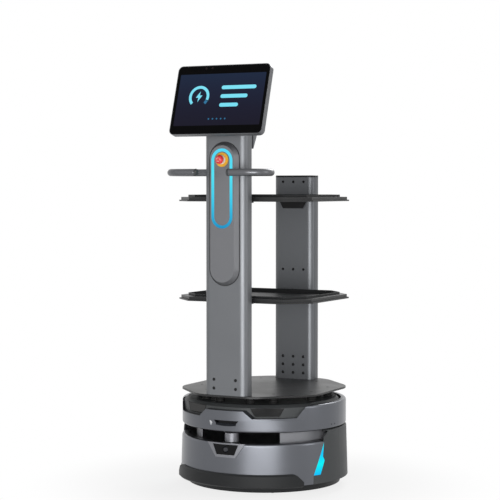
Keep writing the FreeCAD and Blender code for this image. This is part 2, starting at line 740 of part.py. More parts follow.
def make_side_lights():
    """A bolt-shaped light on each side, in the joint between the lower shell and the rear cover."""
    low = d.light_foot_level
    high = d.light_tip_level
    lights = []
    for name, side in SIDES:
        light = turned(f"side_light_{name}", [
            (shell_radius(low), low),
            (shell_radius(high), high),
            (shell_radius(high) - d.shell_wall, high),
            (shell_radius(low) - d.shell_wall, low),
        ])
        other_half = sketch_on(light, "XY", high)
        rectangle(other_half, -side * BEYOND, 0, -BEYOND, BEYOND)
        pocket(light, other_half, high)
        around = sketch_on(light, "YZ")
        rectangle(around, -BEYOND, BEYOND, 0, d.cover_top)
        polygon(around, [
            (d.fit_gap - d.light_foot_front, low),
            (-d.light_foot_back - d.fit_gap, low),
            (-d.light_bulge - d.fit_gap, d.light_bulge_level),
            (-d.light_notch - d.fit_gap, d.light_notch_level),
            (-d.light_tip, high),
        ])
        pocket(light, around, BEYOND * 2, both_ways=True)
        lights.append(place(light))
    group("side_lights", lights)


# Front camera

# Straight rim and flat face of the lens, as shares of its height and radius
LENS_RIM = 0.6
LENS_FACE = 0.7


def camera_frame():
    """Outer radius of the bezel and inner radius that the bezel and its window share."""
    outer = shell_radius(d.bezel_bottom) + d.bezel_proud
    return outer, outer - d.bezel_deep


def make_camera():
    outer, inner = camera_frame()
    depth = d.lower_top - d.bezel_bottom + d.shell_wall
    bezel = start_body("camera_bezel")
    frame = sketch_on(bezel, "XZ", inner * SHORT)
    bezel_outline(frame, 0)
    trapezium(frame, d.window_half_bottom, d.window_half_top, d.window_bottom, d.window_top)
    pad(bezel, frame, BEYOND - inner * SHORT)
    keep_ring(bezel, d.lower_top, depth, inner, outer)
    node(place(bezel))

    window = start_body("camera_window")
    pane = sketch_on(window, "XZ", inner * SHORT)
    gap = d.fit_gap
    half_low = d.window_half_bottom - gap
    half_high = d.window_half_top - gap
    trapezium(pane, half_low, half_high, d.window_bottom + gap, d.window_top - gap)
    pad(window, pane, BEYOND - inner * SHORT)
    keep_ring(window, d.lower_top, depth, inner, outer - d.bezel_proud * 2)
    hole = sketch_on(window, "XZ", BEYOND)
    circle(hole, 0, d.lens_level, d.lens_radius + d.fit_gap)
    pocket(window, hole, BEYOND)
    node(place(window))

    rise = outer - d.bezel_proud - inner
    lens = turned("camera_lens", [
        (0, 0),
        (d.lens_radius, 0),
        (d.lens_radius, rise * LENS_RIM),
        (d.lens_radius * LENS_FACE, rise),
        (0, rise),
    ])
    node(place(lens, 0, -inner, d.lens_level, X_AXIS, 90))


# Lidar bay, with the neck that carries the upper half of the base

BAY_TOP = d.lower_top - d.shell_wall
NECK_TOP = d.upper_bottom + d.neck_overlap


def make_lidar_bay():
    neck_inner = NECK_RADIUS - d.shell_wall
    bay = turned("lidar_bay", [
        (0, BAY_TOP - d.bay_floor),
        (BAY_RADIUS, BAY_TOP - d.bay_floor),
        (BAY_RADIUS, BAY_TOP),
        (NECK_RADIUS, BAY_TOP),
        (NECK_RADIUS, NECK_TOP),
        (neck_inner, NECK_TOP),
        (neck_inner, BAY_TOP),
        (0, BAY_TOP),
    ])
    view = sketch_on(bay, "XY", NECK_TOP)
    across = BEYOND * sine(d.neck_opening)
    ahead = BEYOND * cosine(d.neck_opening)
    polygon(view, [(0, 0), (-across, -ahead), (across, -ahead)])
    pocket(bay, view, NECK_TOP - BAY_TOP)
    node(place(bay))


def make_lidar():
    flange = d.lidar_flange_thick
    spigot_top = flange + d.lidar_height - d.lidar_spigot
    base = turned("lidar_base", [
        (0, 0),
        (d.lidar_flange, 0),
        (d.lidar_flange, flange),
        (d.lidar_spigot, flange),
        (d.lidar_spigot, spigot_top),
        (0, spigot_top),
    ])
    node(place(base, 0, d.lidar_inset - d.lower_radius, BAY_TOP))

    low = flange + d.fit_gap
    bore = d.lidar_spigot + d.running_gap
    crown = low + d.lidar_height
    head = turned("lidar_head", [
        (bore, low),
        (d.lidar_radius, low),
        (d.lidar_radius, crown - d.glass_rim),
        (d.lidar_radius - d.glass_rim, crown),
        (0, crown),
        (0, spigot_top + d.fit_gap),
        (bore, spigot_top + d.fit_gap),
    ])
    node(place(head, 0, d.lidar_inset - d.lower_radius, BAY_TOP))


# Upper shell with its visor, notches and sensor windows

VISOR_CENTRE = d.visor_radius - UPPER_RADIUS - d.visor_ahead
PANEL_RADIUS = UPPER_RADIUS - d.panel_inset
PANE_SEAT = PANEL_RADIUS - d.pane_recess - d.pane_thick


def notch_side(level):
    """Inner end of a notch at a level, along its slanted edge."""
    slope = (d.notch_inner_high - d.notch_inner_low) / (d.upper_top - d.notch_floor)
    return d.notch_inner_low + slope * (level - d.notch_floor)


def make_upper_shell():
    shell = turned("upper_shell", [
        (UPPER_INNER, d.upper_bottom),
        (UPPER_RADIUS, d.upper_bottom),
        (UPPER_RADIUS, d.upper_top),
        (UPPER_INNER, d.upper_top),
    ])
    fillet(shell, d.shell_round, ring_at(UPPER_RADIUS, d.upper_top))
    fillet(shell, d.upper_round, ring_at(UPPER_RADIUS, d.upper_bottom))

    visor = sketch_on(shell, "XY", d.visor_bottom)
    circle(visor, 0, VISOR_CENTRE, d.visor_radius)
    pad(shell, visor, d.visor_top - d.visor_bottom)
    inside = sketch_on(shell, "XY", d.upper_top)
    circle(inside, 0, 0, UPPER_INNER)
    pocket(shell, inside, d.upper_top - d.upper_bottom)

    notches = sketch_on(shell, "XZ", BEYOND)
    notch_outline(notches, size_of(0))
    pocket(shell, notches, BEYOND)

    slot = sketch_on(shell, "XZ", BEYOND)
    trapezium(slot, d.slot_half_bottom, d.slot_half_top, d.slot_bottom, d.slot_top)
    pocket(shell, slot, BEYOND)
    ledge = sketch_on(shell, "YZ")
    polygon(ledge, [
        (d.ledge_depth - UPPER_RADIUS, d.slot_bottom),
        (-UPPER_RADIUS, d.ledge_bottom),
        (-BEYOND, d.ledge_bottom),
        (-BEYOND, d.slot_bottom),
    ])
    pocket(shell, ledge, d.slot_half_bottom * 2, both_ways=True)
    node(place(shell))


def make_slot_sensor():
    sensor = start_body("slot_sensor")
    face = sketch_on(sensor, "XZ", UPPER_INNER * SHORT)
    gap = d.fit_gap
    trapezium(face, d.slot_half_bottom - gap, d.slot_half_top - gap, d.slot_bottom + gap, d.slot_top - gap)
    pad(sensor, face, BEYOND - UPPER_INNER * SHORT)
    front = UPPER_RADIUS - d.ledge_depth - d.sensor_recess
    trim = sketch_on(sensor, "XY", d.slot_top)
    circle(trim, 0, 0, front)
    circle(trim, 0, 0, front * PAST * PAST)
    pocket(sensor, trim, d.slot_top)
    back = sketch_on(sensor, "XY", d.slot_top)
    circle(back, 0, 0, UPPER_INNER)
    pocket(sensor, back, d.slot_top)
    node(place(sensor))


def pane_outline(sketch, grow):
    low = d.pane_bottom - grow
    trapezium(sketch, d.pane_half_bottom + grow, d.pane_half_top + grow, low, d.pane_top + grow)


def make_notch_windows():
    panes = []
    for name, side in SIDES:
        pane = start_body(f"notch_window_{name}")
        face = sketch_on(pane, "XZ", PANE_SEAT)
        pane_outline(face, size_of(0))
        pad(pane, face, d.pane_thick)
        panes.append(place(pane, axis=Z_AXIS * side, angle=d.pane_angle))
    group("notch_windows", panes)


def notch_outline(sketch, inset):
    """The opening in front of the upper shell: a notch on each side of the visor, joined over its top."""
    above = d.upper_top * PAST
    right = [
        (notch_side(d.visor_top) + inset, d.visor_top + inset),
        (d.notch_inner_low + inset, d.notch_floor + inset),
        (d.notch_outer_low - inset, d.notch_floor + inset),
        (d.notch_outer_high - inset, d.upper_top),
        (d.notch_outer_high - inset, above),
    ]
    left = [(-x, z) for x, z in reversed(right)]
    polygon(sketch, right + left)


def make_top_cover():
    """Dark cover inside the upper shell. It stands on the neck, carries the deck and fills the notches."""
    cover = start_body("top_cover")
    panels = sketch_on(cover, "XZ")
    polygon(panels, [
        (LID_RADIUS - d.shell_wall, d.notch_floor),
        (PANEL_RADIUS, d.notch_floor),
        (PANEL_RADIUS, d.lid_top - d.panel_slope),
        (PANEL_RADIUS - d.panel_crown, d.lid_top),
        (LID_RADIUS - d.lid_bevel, d.lid_top),
        (LID_RADIUS - d.shell_wall, d.lid_top - d.lid_bevel - d.shell_wall),
    ])
    revolve(cover, panels)
    rear = sketch_on(cover, "XY", d.lid_top)
    rectangle(rear, -BEYOND, BEYOND, 0, BEYOND)
    pocket(cover, rear, d.lid_top)
    around = sketch_on(cover, "XZ", BEYOND)
    rectangle(around, -BEYOND, BEYOND, 0, d.upper_top * PAST * PAST)
    notch_outline(around, d.seam)
    pocket(cover, around, BEYOND)
    for name, side in SIDES:
        recess = sketch_on(cover, "XZ")
        turn_sketch(recess, BEYOND, side, d.pane_angle)
        pane_outline(recess, d.pane_gap)
        pocket(cover, recess, BEYOND - PANE_SEAT)

    low = NECK_TOP
    inner = LID_RADIUS - d.shell_wall
    seat = NECK_RADIUS - d.shell_wall - d.lid_seat
    dome = sketch_on(cover, "XZ")
    polygon(dome, [
        (seat, low),
        (LID_RADIUS, low),
        (LID_RADIUS, d.lid_top - d.lid_bevel),
        (LID_RADIUS - d.lid_bevel, d.lid_top),
        (0, d.lid_top),
        (0, d.lid_top - d.shell_wall),
        (inner - d.lid_bevel, d.lid_top - d.shell_wall),
        (inner, d.lid_top - d.lid_bevel - d.shell_wall),
        (inner, low + d.shell_wall),
        (seat, low + d.shell_wall),
    ])
    revolve(cover, dome)
    node(place(cover))


# Deck

def make_deck_spacers():
    height = d.deck_level - d.deck_thick - d.lid_top
    circle_radius = LID_RADIUS - d.post_inset
    posts = []
    for angle in POST_ANGLES:
        for name, side in SIDES:
            post = turned(f"deck_spacer_{name}_{angle}", [
                (0, 0),
                (d.post_radius, 0),
                (d.post_radius, height),
                (0, height),
            ])
            across = side * circle_radius * sine(angle)
            posts.append(place(post, across, -circle_radius * cosine(angle), d.lid_top))
    group("deck_spacers", posts)


def octagon(half_x, half_y, cut_x, cut_y):
    """Corners of a rectangle with cut corners, given what the cuts take off along x and y."""
    return [
        (half_x - cut_x, -half_y),
        (half_x, cut_y - half_y),
        (half_x, half_y - cut_y),
        (half_x - cut_x, half_y),
        (cut_x - half_x, half_y),
        (-half_x, half_y - cut_y),
        (-half_x, cut_y - half_y),
        (cut_x - half_x, -half_y),
    ]


def make_deck_plate():
    deck = start_body("deck_plate")
    outline = sketch_on(deck, "XY", d.deck_level - d.deck_thick)
    cut_x = d.deck_half_width - d.deck_front_half
    cut_y = d.deck_half_length - d.deck_side_half
    polygon(outline, octagon(d.deck_half_width, d.deck_half_length, cut_x, cut_y))
    pad(deck, outline, d.deck_thick)
    fillet(deck, d.deck_corner, along(Z_AXIS))
    fillet(deck, d.deck_edge, lying_at(2, d.deck_level))
    node(place(deck))


# Battery and controller on the chassis plate

def make_box(name, width, length, height, middle):
    box = start_body(name)
    outline = sketch_on(box, "XY", PLATE_TOP)
    rectangle(outline, -width / 2, width / 2, middle - length / 2, middle + length / 2)
    pad(box, outline, height)
    fillet(box, d.box_round, along(Z_AXIS))
    fillet(box, d.box_round, lying_at(2, PLATE_TOP + height))
    node(place(box))


# Drive: on each side a bracket, a sprung swing arm and a wheel with its motor in the hub

SPRING_TOP = d.spring_seat + d.spring_length
BRACKET_HALF_WIDTH = d.arm_thick / 2 + d.cheek_gap + d.cheek
# Arm beside its bores and pad under its spring, as shares of its ends and of its thickness
ARM_WAIST = 0.85
SEAT_PAD = 0.7
# Rim, dish and boss of a wheel hub, as shares of its radius
HUB_RIM = 0.87
HUB_DISH = 0.8
HUB_BOSS = 0.35


def make_drive_brackets():
    back = d.pivot_back + d.bracket_half
    front = d.pivot_back - d.bracket_half
    overhang = d.spring_back - d.seat_half
    brackets = []
    for name, side in SIDES:
        bracket = start_body(f"drive_bracket_{name}")
        profile = sketch_on(bracket, "YZ")
        polygon(profile, [
            (front, PLATE_TOP),
            (back, PLATE_TOP),
            (back, SPRING_TOP + d.bracket_top),
            (overhang, SPRING_TOP + d.bracket_top),
            (overhang, SPRING_TOP),
            (front, SPRING_TOP),
        ])
        pad(bracket, profile, BRACKET_HALF_WIDTH * 2, both_ways=True)
        between = sketch_on(bracket, "XZ", -overhang)
        half = d.arm_thick / 2 + d.cheek_gap
        rectangle(between, -half, half, PLATE_TOP + d.bracket_foot, SPRING_TOP)
        pocket(bracket, between, back)
        bore = sketch_on(bracket, "YZ")
        circle(bore, d.pivot_back, d.pivot_level, d.pin_radius + d.running_gap)
        pocket(bracket, bore, BRACKET_HALF_WIDTH * 3, both_ways=True)
        brackets.append(place(bracket, side * d.arm_offset))
    group("drive_brackets", brackets)


def make_arm_pins():
    half = BRACKET_HALF_WIDTH + d.arm_thick / 4
    bevel = d.pin_radius / 6
    pins = []
    for name, side in SIDES:
        pin = turned(f"arm_pin_{name}", [
            (0, -half),
            (d.pin_radius - bevel, -half),
            (d.pin_radius, bevel - half),
            (d.pin_radius, half - bevel),
            (d.pin_radius - bevel, half),
            (0, half),
        ])
        pins.append(place(pin, side * d.arm_offset, d.pivot_back, d.pivot_level, Y_AXIS, 90))
    group("arm_pins", pins)


def make_swing_arm(name, side):
    arm = start_body(f"swing_arm_{name}")
    beam = sketch_on(arm, "YZ")
    wheel_half = d.arm_end * ARM_WAIST
    pivot_half = d.pivot_end * ARM_WAIST
    polygon(beam, [
        (0, d.wheel_radius - wheel_half),
        (d.pivot_back, d.pivot_level - pivot_half),
        (d.pivot_back, d.pivot_level + pivot_half),
        (0, d.wheel_radius + wheel_half),
    ])
    pad(arm, beam, d.arm_thick, both_ways=True)
    for y, z, radius in ((size_of(0), d.wheel_radius, d.arm_end), (d.pivot_back, d.pivot_level, d.pivot_end)):
        boss = sketch_on(arm, "YZ")
        circle(boss, y, z, radius)
        pad(arm, boss, d.arm_thick, both_ways=True)
    seat = sketch_on(arm, "XY", d.spring_seat)
    rectangle(seat, -d.seat_half, d.seat_half, d.spring_back - d.seat_half, d.spring_back + d.seat_half)
    seat_pad = arm.newObject("PartDesign::Pad", f"{arm.Name}_seat")
    seat_pad.Profile = seat
    seat_pad.Reversed = True
    bind(seat_pad, "Length", d.arm_thick * SEAT_PAD)
    doc.recompute()
    wheel_bore = (size_of(0), d.wheel_radius, d.axle_radius)
    pivot_bore = (d.pivot_back, d.pivot_level, d.pin_radius)
    for y, z, radius in (wheel_bore, pivot_bore):
        bore = sketch_on(arm, "YZ")
        circle(bore, y, z, radius + d.running_gap)
        pocket(arm, bore, d.seat_half * 3, both_ways=True)
    node(place(arm, side * d.arm_offset))


def make_arm_spring(name, side):
    """Coil spring between the arm's seat and the bracket."""
    wire = d.spring_wire.value
    rise = d.spring_length.value - 2 * (wire + d.fit_gap.value)
    radius = d.spring_radius.value
    pitch = rise / d.spring_turns.value
    spring = doc.addObject("Part::Feature", f"arm_spring_{name}")
    spine = Part.Wire(Part.makeHelix(pitch, rise, radius).Edges)
    start = FreeCAD.Vector(radius, 0, 0)
    heading = FreeCAD.Vector(0, 2 * math.pi * radius, pitch)
    section = Part.Wire([Part.makeCircle(wire, start, heading)])
    spring.Shape = spine.makePipeShell([section], True, True)
    level = d.spring_seat + d.spring_wire + d.fit_gap
    node(place(spring, side * d.arm_offset, d.spring_back, level))


def make_drive_wheel(name, side):
    """Axle, hub and tyre, turned about the wheel's own axis with the outer face up."""
    inner_face = d.wheel_offset - d.hub_width / 2
    arm_face = d.arm_offset - d.arm_thick / 2
    shoulder = d.arm_thick + d.fit_gap
    hub_start = inner_face - arm_face
    end = hub_start + d.hub_width - d.hub_dish
    axle = turned(f"drive_axle_{name}", [
        (0, 0),
        (d.axle_radius, 0),
        (d.axle_radius, shoulder),
        (d.axle_collar, shoulder),
        (d.axle_collar, hub_start + d.hub_dish - d.cheek_gap),
        (d.axle_radius, hub_start + d.hub_dish - d.cheek_gap),
        (d.axle_radius, end),
        (0, end),
    ])
    node(place(axle, side * arm_face, 0, d.wheel_radius, Y_AXIS * side, 90))

    bore = d.axle_radius + d.running_gap
    rim = d.hub_radius * HUB_RIM
    dish = d.hub_radius * HUB_DISH
    boss = d.hub_radius * HUB_BOSS
    hub = turned(f"wheel_hub_{name}", [
        (bore, d.hub_dish),
        (dish, d.hub_dish),
        (rim, 0),
        (d.hub_radius, 0),
        (d.hub_radius, d.hub_width),
        (rim, d.hub_width),
        (dish, d.hub_width - d.hub_dish),
        (boss, d.hub_width - d.hub_dish),
        (boss - d.hub_dish, d.hub_width),
        (0, d.hub_width),
        (0, d.hub_width - d.hub_dish + d.fit_gap),
        (bore, d.hub_width - d.hub_dish + d.fit_gap),
    ])
    node(place(hub, side * inner_face, 0, d.wheel_radius, Y_AXIS * side, 90))

    inside = d.hub_radius + d.running_gap
    floor = d.wheel_radius - d.tyre_groove
    half = d.tyre_width / 2
    band = (half - d.tyre_shoulder) / 3
    tread = []
    for groove in (-band, band):
        tread += [
            (d.wheel_radius, groove - d.tyre_groove),
            (floor, groove - d.tyre_groove / 2),
            (floor, groove + d.tyre_groove / 2),
            (d.wheel_radius, groove + d.tyre_groove),
        ]
    tyre = turned(f"tyre_{name}", [
        (inside, -half),
        (d.wheel_radius - d.tyre_shoulder, -half),
        (d.wheel_radius, d.tyre_shoulder - half),
        *tread,
        (d.wheel_radius, half - d.tyre_shoulder),
        (d.wheel_radius - d.tyre_shoulder, half),
        (inside, half),
    ])
    node(place(tyre, side * d.wheel_offset, 0, d.wheel_radius, Y_AXIS * side, 90))


# Casters: a housing under the chassis plate, a swivelling fork and a wheel with its axle moulded in

BRIDGE_LOW = d.caster_radius * 2 + d.caster_headroom
BRIDGE_TOP = BRIDGE_LOW + d.caster_bridge
FORK_INNER = d.caster_width / 2 + d.caster_play
FORK_HALF = FORK_INNER + d.caster_leg
# Front of a fork's leg, as a share of the swivel boss
FORK_FRONT = 0.75


def make_caster_housings():
    flange = d.plate_level - d.caster_leg
    low = BRIDGE_TOP + d.fit_gap
    bore = d.caster_stem + d.running_gap
    roof = d.plate_level - d.glass_rim
    housings = []
    for name, across, back in CASTERS:
        housing = turned(f"caster_housing_{name}", [
            (bore, low),
            (d.caster_boss, low),
            (d.caster_boss, flange),
            (d.caster_flange, flange),
            (d.caster_flange, d.plate_level),
            (0, d.plate_level),
            (0, roof),
            (bore, roof),
        ])
        housings.append(place(housing, across * d.caster_side, back * CASTER_AHEAD))
    group("caster_housings", housings)


def make_caster(name, across, back):
    x = across * d.caster_side
    y = back * CASTER_AHEAD
    front = d.caster_boss * FORK_FRONT
    eye = d.caster_axle * 2
    fork = start_body(f"caster_fork_{name}")
    profile = sketch_on(fork, "YZ")
    polygon(profile, [
        (-front, BRIDGE_TOP),
        (front, BRIDGE_TOP),
        (d.caster_trail + eye, d.caster_radius + eye / 2),
        (d.caster_trail + eye / 2, d.caster_radius - eye),
        (d.caster_trail - eye / 2, d.caster_radius - eye),
        (-front, BRIDGE_LOW - d.caster_bridge),
    ])
    pad(fork, profile, FORK_HALF * 2, both_ways=True)
    between = sketch_on(fork, "XZ", d.caster_radius * 2)
    rectangle(between, -FORK_INNER, FORK_INNER, 0, BRIDGE_LOW)
    pocket(fork, between, d.caster_radius * 5)
    stem = sketch_on(fork, "XY", BRIDGE_TOP)
    circle(stem, 0, 0, d.caster_stem)
    pad(fork, stem, d.plate_level - d.glass_rim - d.fit_gap - BRIDGE_TOP)
    eyes = sketch_on(fork, "YZ")
    circle(eyes, d.caster_trail, d.caster_radius, d.caster_axle + d.running_gap)
    pocket(fork, eyes, FORK_HALF * 3, both_ways=True)
    node(place(fork, x, y))

    half = d.caster_width / 2
    bevel = d.caster_leg
    wheel = turned(f"caster_wheel_{name}", [
        (0, -FORK_HALF),
        (d.caster_axle, -FORK_HALF),
        (d.caster_axle, -half),
        (d.caster_radius - bevel, -half),
        (d.caster_radius, bevel - half),
        (d.caster_radius, half - bevel),
        (d.caster_radius - bevel, half),
        (d.caster_axle, half),
        (d.caster_axle, FORK_HALF),
        (0, FORK_HALF),
    ])
    node(place(wheel, x, y + d.caster_trail, d.caster_radius, Y_AXIS, 90))


# Columns: rounded rectangular tubes on feet that are fixed to the deck

FRONT_ROWS = [d.first_row, d.first_row + d.row_step]
FOOT_ROWS = FRONT_ROWS + [d.first_row + d.row_step * 2]
SHELF_ROWS = [FOOT_ROWS[2] + d.bay_step, FOOT_ROWS[2] + d.bay_step * 2]


def column_outline(sketch, inset):
    half_x = d.column_width / 2 - inset
    half_y = d.column_depth / 2 - inset
    rounded_rectangle(sketch, half_x, half_y, d.column_corner - inset)


def hollow_column(body, level, height, outside, wall):
    """A rounded rectangular tube that stands in from the column's outside by a given inset."""
    outline = sketch_on(body, "XY", level)
    column_outline(outline, outside)
    column_outline(outline, outside + wall)
    pad(body, outline, height)


def bolt_holes(body, spots, radius):
    """Holes through the front wall of a column or foot."""
    holes = sketch_on(body, "XZ", COLUMN_FACE + d.column_wall)
    for x, level in spots:
        circle(holes, x, level, radius)
    pocket(body, holes, COLUMN_FACE)


FRONT_SPOTS = [(x, level) for x in (-d.bolt_half, d.bolt_half) for level in FRONT_ROWS]
FOOT_SPOTS = [(x, level) for x in (-d.bolt_half, size_of(0), d.bolt_half) for level in FOOT_ROWS]
SHELF_SPOTS = [(x, level) for x in (-d.bolt_half, size_of(0), d.bolt_half) for level in SHELF_ROWS]


def make_front_column():
    column = start_body("front_column")
    hollow_column(column, d.deck_level, d.front_column_top - d.deck_level, size_of(0), d.column_wall)
    bolt_holes(column, FRONT_SPOTS, d.bolt_radius)
    stop = sketch_on(column, "XZ", COLUMN_FACE + d.column_wall)
    circle(stop, 0, d.stop_level, d.stop_barrel + d.seam)
    pocket(column, stop, COLUMN_FACE)
    through = sketch_on(column, "YZ")
    circle(through, 0, d.handle_level, d.handle_tube + d.fit_gap)
    pocket(column, through, d.column_width * PAST, both_ways=True)
    node(place(column, 0, -COLUMN_REACH))


def make_rear_column():
    column = start_body("rear_column")
    hollow_column(column, d.deck_level, d.rear_column_top - d.deck_level, size_of(0), d.column_wall)
    bolt_holes(column, FOOT_SPOTS + SHELF_SPOTS, d.bolt_radius)
    node(place(column, 0, COLUMN_REACH))


def make_column_feet():
    inset = d.column_wall + d.fit_gap
    feet = []
    for name, y, spots in (("front", -COLUMN_REACH, FRONT_SPOTS), ("rear", COLUMN_REACH, FOOT_SPOTS)):
        foot = start_body(f"{name}_foot")
        hollow_column(foot, d.deck_level, d.foot_height, inset, d.foot_wall)
        bolt_holes(foot, spots, d.bolt_radius)
        feet.append(place(foot, 0, y))
    group("column_feet", feet)


def make_rear_cap():
    cap = start_body("rear_cap")
    cover = sketch_on(cap, "XY", d.rear_column_top)
    column_outline(cover, size_of(0))
    pad(cap, cover, d.cap_thick)
    fillet(cap, d.cap_thick / 3, lying_at(2, d.rear_column_top + d.cap_thick))
    plug = sketch_on(cap, "XY", d.rear_column_top - d.cap_plug)
    column_outline(plug, d.column_wall + d.fit_gap)
    pad(cap, plug, d.cap_plug)
    node(place(cap, 0, COLUMN_REACH))


# Pod on the front column, with the light ring and the emergency stop

POD_FACE = COLUMN_FACE + d.pod_depth
# Spigot, shoulder and crown of the stop's head, as shares of its height and radius
STOP_SPIGOT = 0.65
STOP_SHOULDER = 0.75
STOP_CROWN = 0.5


def make_pod():
    pod = start_body("pod")
    outline = sketch_on(pod, "XZ", COLUMN_FACE)
    stadium(outline, d.pod_width, d.pod_bottom, d.pod_top)
    pad(pod, outline, d.pod_depth, draft=d.pod_draft)
    groove = sketch_on(pod, "XZ", POD_FACE)
    ring_outline(groove, d.fit_gap)
    pocket(pod, groove, d.ring_deep)
    hole = sketch_on(pod, "XZ", POD_FACE)
    circle(hole, 0, d.stop_level, d.stop_barrel + d.fit_gap)
    pocket(pod, hole, d.pod_depth * 2)
    node(place(pod, 0, -COLUMN_REACH))


def ring_outline(sketch, grow):
    stadium(sketch, d.ring_width + grow * 2, d.ring_bottom - grow, d.ring_top + grow)
    inset = d.ring_band + grow
    stadium(sketch, d.ring_width - inset * 2, d.ring_bottom + inset, d.ring_top - inset)


def make_light_ring():
    ring = start_body("light_ring")
    outline = sketch_on(ring, "XZ", POD_FACE - d.ring_deep)
    ring_outline(outline, size_of(0))
    pad(ring, outline, d.ring_deep + d.ring_proud)
    fillet(ring, d.ring_round, lying_at(1, -POD_FACE - d.ring_proud))
    node(place(ring, 0, -COLUMN_REACH))


def make_emergency_stop():
    """Turned pieces on one axis that points forward from the pod's face."""
    where = (0, -COLUMN_REACH - POD_FACE, d.stop_level, X_AXIS, 90)
    disc = turned("stop_disc", [
        (d.stop_barrel + d.fit_gap, 0),
        (d.stop_disc, 0),
        (d.stop_disc, d.stop_disc_thick / 2),
        (d.stop_disc - d.stop_disc_thick / 2, d.stop_disc_thick),
        (d.stop_barrel + d.fit_gap, d.stop_disc_thick),
    ])
    node(place(disc, *where))

    collar_top = d.stop_disc_thick + d.stop_collar_thick
    bore = d.stop_stem + d.running_gap
    collar = turned("stop_collar", [
        (bore, -d.stop_barrel_deep),
        (d.stop_barrel, -d.stop_barrel_deep),
        (d.stop_barrel, d.stop_disc_thick),
        (d.stop_collar, d.stop_disc_thick),
        (d.stop_collar, collar_top - d.stop_disc_thick),
        (d.stop_collar - d.stop_disc_thick, collar_top),
        (bore, collar_top),
    ])
    node(place(collar, *where))

    head_low = collar_top + d.stop_travel + d.cheek_gap
    shoulder = head_low + d.glass_rim
    spigot_top = head_low + d.stop_head_thick * STOP_SPIGOT
    stem = turned("stop_stem", [
        (0, d.stop_travel + d.glass_rim - d.stop_barrel_deep),
        (d.stop_stem, d.stop_travel + d.glass_rim - d.stop_barrel_deep),
        (d.stop_stem, shoulder),
        (d.stop_spigot, shoulder),
        (d.stop_spigot, spigot_top),
        (0, spigot_top),
    ])
    node(place(stem, *where))

    ledge = shoulder + d.fit_gap
    roof = spigot_top + d.fit_gap
    spigot_bore = d.stop_spigot + d.running_gap
    mouth = d.stop_stem + d.fit_gap
    crown = head_low + d.stop_head_thick
    head = turned("stop_head", [
        (mouth, head_low),
        (d.stop_head - d.stop_disc_thick, head_low),
        (d.stop_head, head_low + d.stop_disc_thick),
        (d.stop_head, head_low + d.stop_head_thick / 2),
        (d.stop_head * STOP_SHOULDER, crown - d.stop_disc_thick / 2),
        (d.stop_head * STOP_CROWN, crown),
        (0, crown),
        (0, roof),
        (spigot_bore, roof),
        (spigot_bore, ledge),
        (mouth, ledge),
    ])
    node(place(head, *where))


# Handle: one bent tube through the front column, open at the front

# Rounding of the handle's ends, as a share of the tube's radius
HANDLE_SHARE = 0.9


def make_handle():
    handle = start_body("handle")
    path = sketch_on(handle, "XY", d.handle_level)
    bend = d.handle_reach / 2
    straight = d.handle_half - bend
    front = -d.handle_reach
    runs = (
        ((d.handle_end, front), (straight, front)),
        ((straight, size_of(0)), (-straight, size_of(0))),
        ((-straight, front), (-d.handle_end, front)),
    )
    lines = []
    for start, end in runs:
        points = [FreeCAD.Vector(x.value, y.value, 0) for x, y in (start, end)]
        line = path.addGeometry(Part.LineSegment(*points), False)
        fix(path, line, 1, *start)
        fix(path, line, 2, *end)
        lines.append(line)
    quarter = math.pi / 2
    for side, begin, finish in ((1, lines[0], lines[1]), (-1, lines[1], lines[2])):
        centre = side * straight
        curve = Part.Circle(FreeCAD.Vector(centre.value, -bend.value, 0), Z_AXIS, bend.value)
        first = -quarter if side > 0 else quarter
        arc = path.addGeometry(Part.ArcOfCircle(curve, first, first + 2 * quarter), False)
        path.addConstraint(Sketcher.Constraint("Coincident", begin, 2, arc, 1))
        path.addConstraint(Sketcher.Constraint("Coincident", finish, 1, arc, 2))
        constrain(path, "DistanceX", centre, -1, 1, arc, 3)
    section = sketch_on(handle, "YZ", d.handle_end)
    circle(section, front, d.handle_level, d.handle_tube)
    doc.recompute()
    pipe = handle.newObject("PartDesign::AdditivePipe", "handle_tube")
    pipe.Profile = section
    pipe.Spine = (path, [f"Edge{index}" for index in range(1, len(path.Shape.Edges) + 1)])
    doc.recompute()
    ends = d.handle_end.value
    fillet(handle, d.handle_tube * HANDLE_SHARE, lambda edge: close(abs(edge.CenterOfMass.x), ends))
    node(place(handle, 0, -COLUMN_REACH))


# Display, leaning back on a neck that grips the top of the front column

def behind_display(along_face, depth):
    """A point in the display's side view: up along its face and back from it, from the axis and floor."""
    back = along_face * sine(d.display_tilt) + depth * cosine(d.display_tilt)
    up = along_face * cosine(d.display_tilt) - depth * sine(d.display_tilt)
    return back - DISPLAY_REACH, d.display_level + up


def make_neck():
    neck = start_body("display_neck")
    column_back = COLUMN_FACE - COLUMN_REACH
    column_front = -COLUMN_FACE - COLUMN_REACH
    crest = (column_back + d.neck_back, d.neck_back_level)
    tip = behind_display(d.neck_up, d.display_thick + d.neck_tip)
    profile = sketch_on(neck, "YZ")
    polygon(profile, [
        (column_back, d.neck_foot),
        crest,
        tip,
        behind_display(d.neck_up, d.display_thick),
        behind_display(-d.neck_down, d.display_thick),
        (column_front, d.front_column_top),
        (column_back, d.front_column_top),
    ])
    pad(neck, profile, d.neck_width, both_ways=True)
    rear_edges = [(y.value, z.value) for y, z in (crest, tip)]

    def on_rear(middle):
        return any(close(middle.y, y) and close(middle.z, z) for y, z in rear_edges)

    fillet(neck, d.neck_round, along(X_AXIS, on_rear))
    node(place(neck))


def display_outline(sketch, inset):
    half_x = d.display_width / 2 - inset
    half_z = d.display_height / 2 - inset
    rounded_rectangle(sketch, half_x, half_z, d.display_corner - inset)


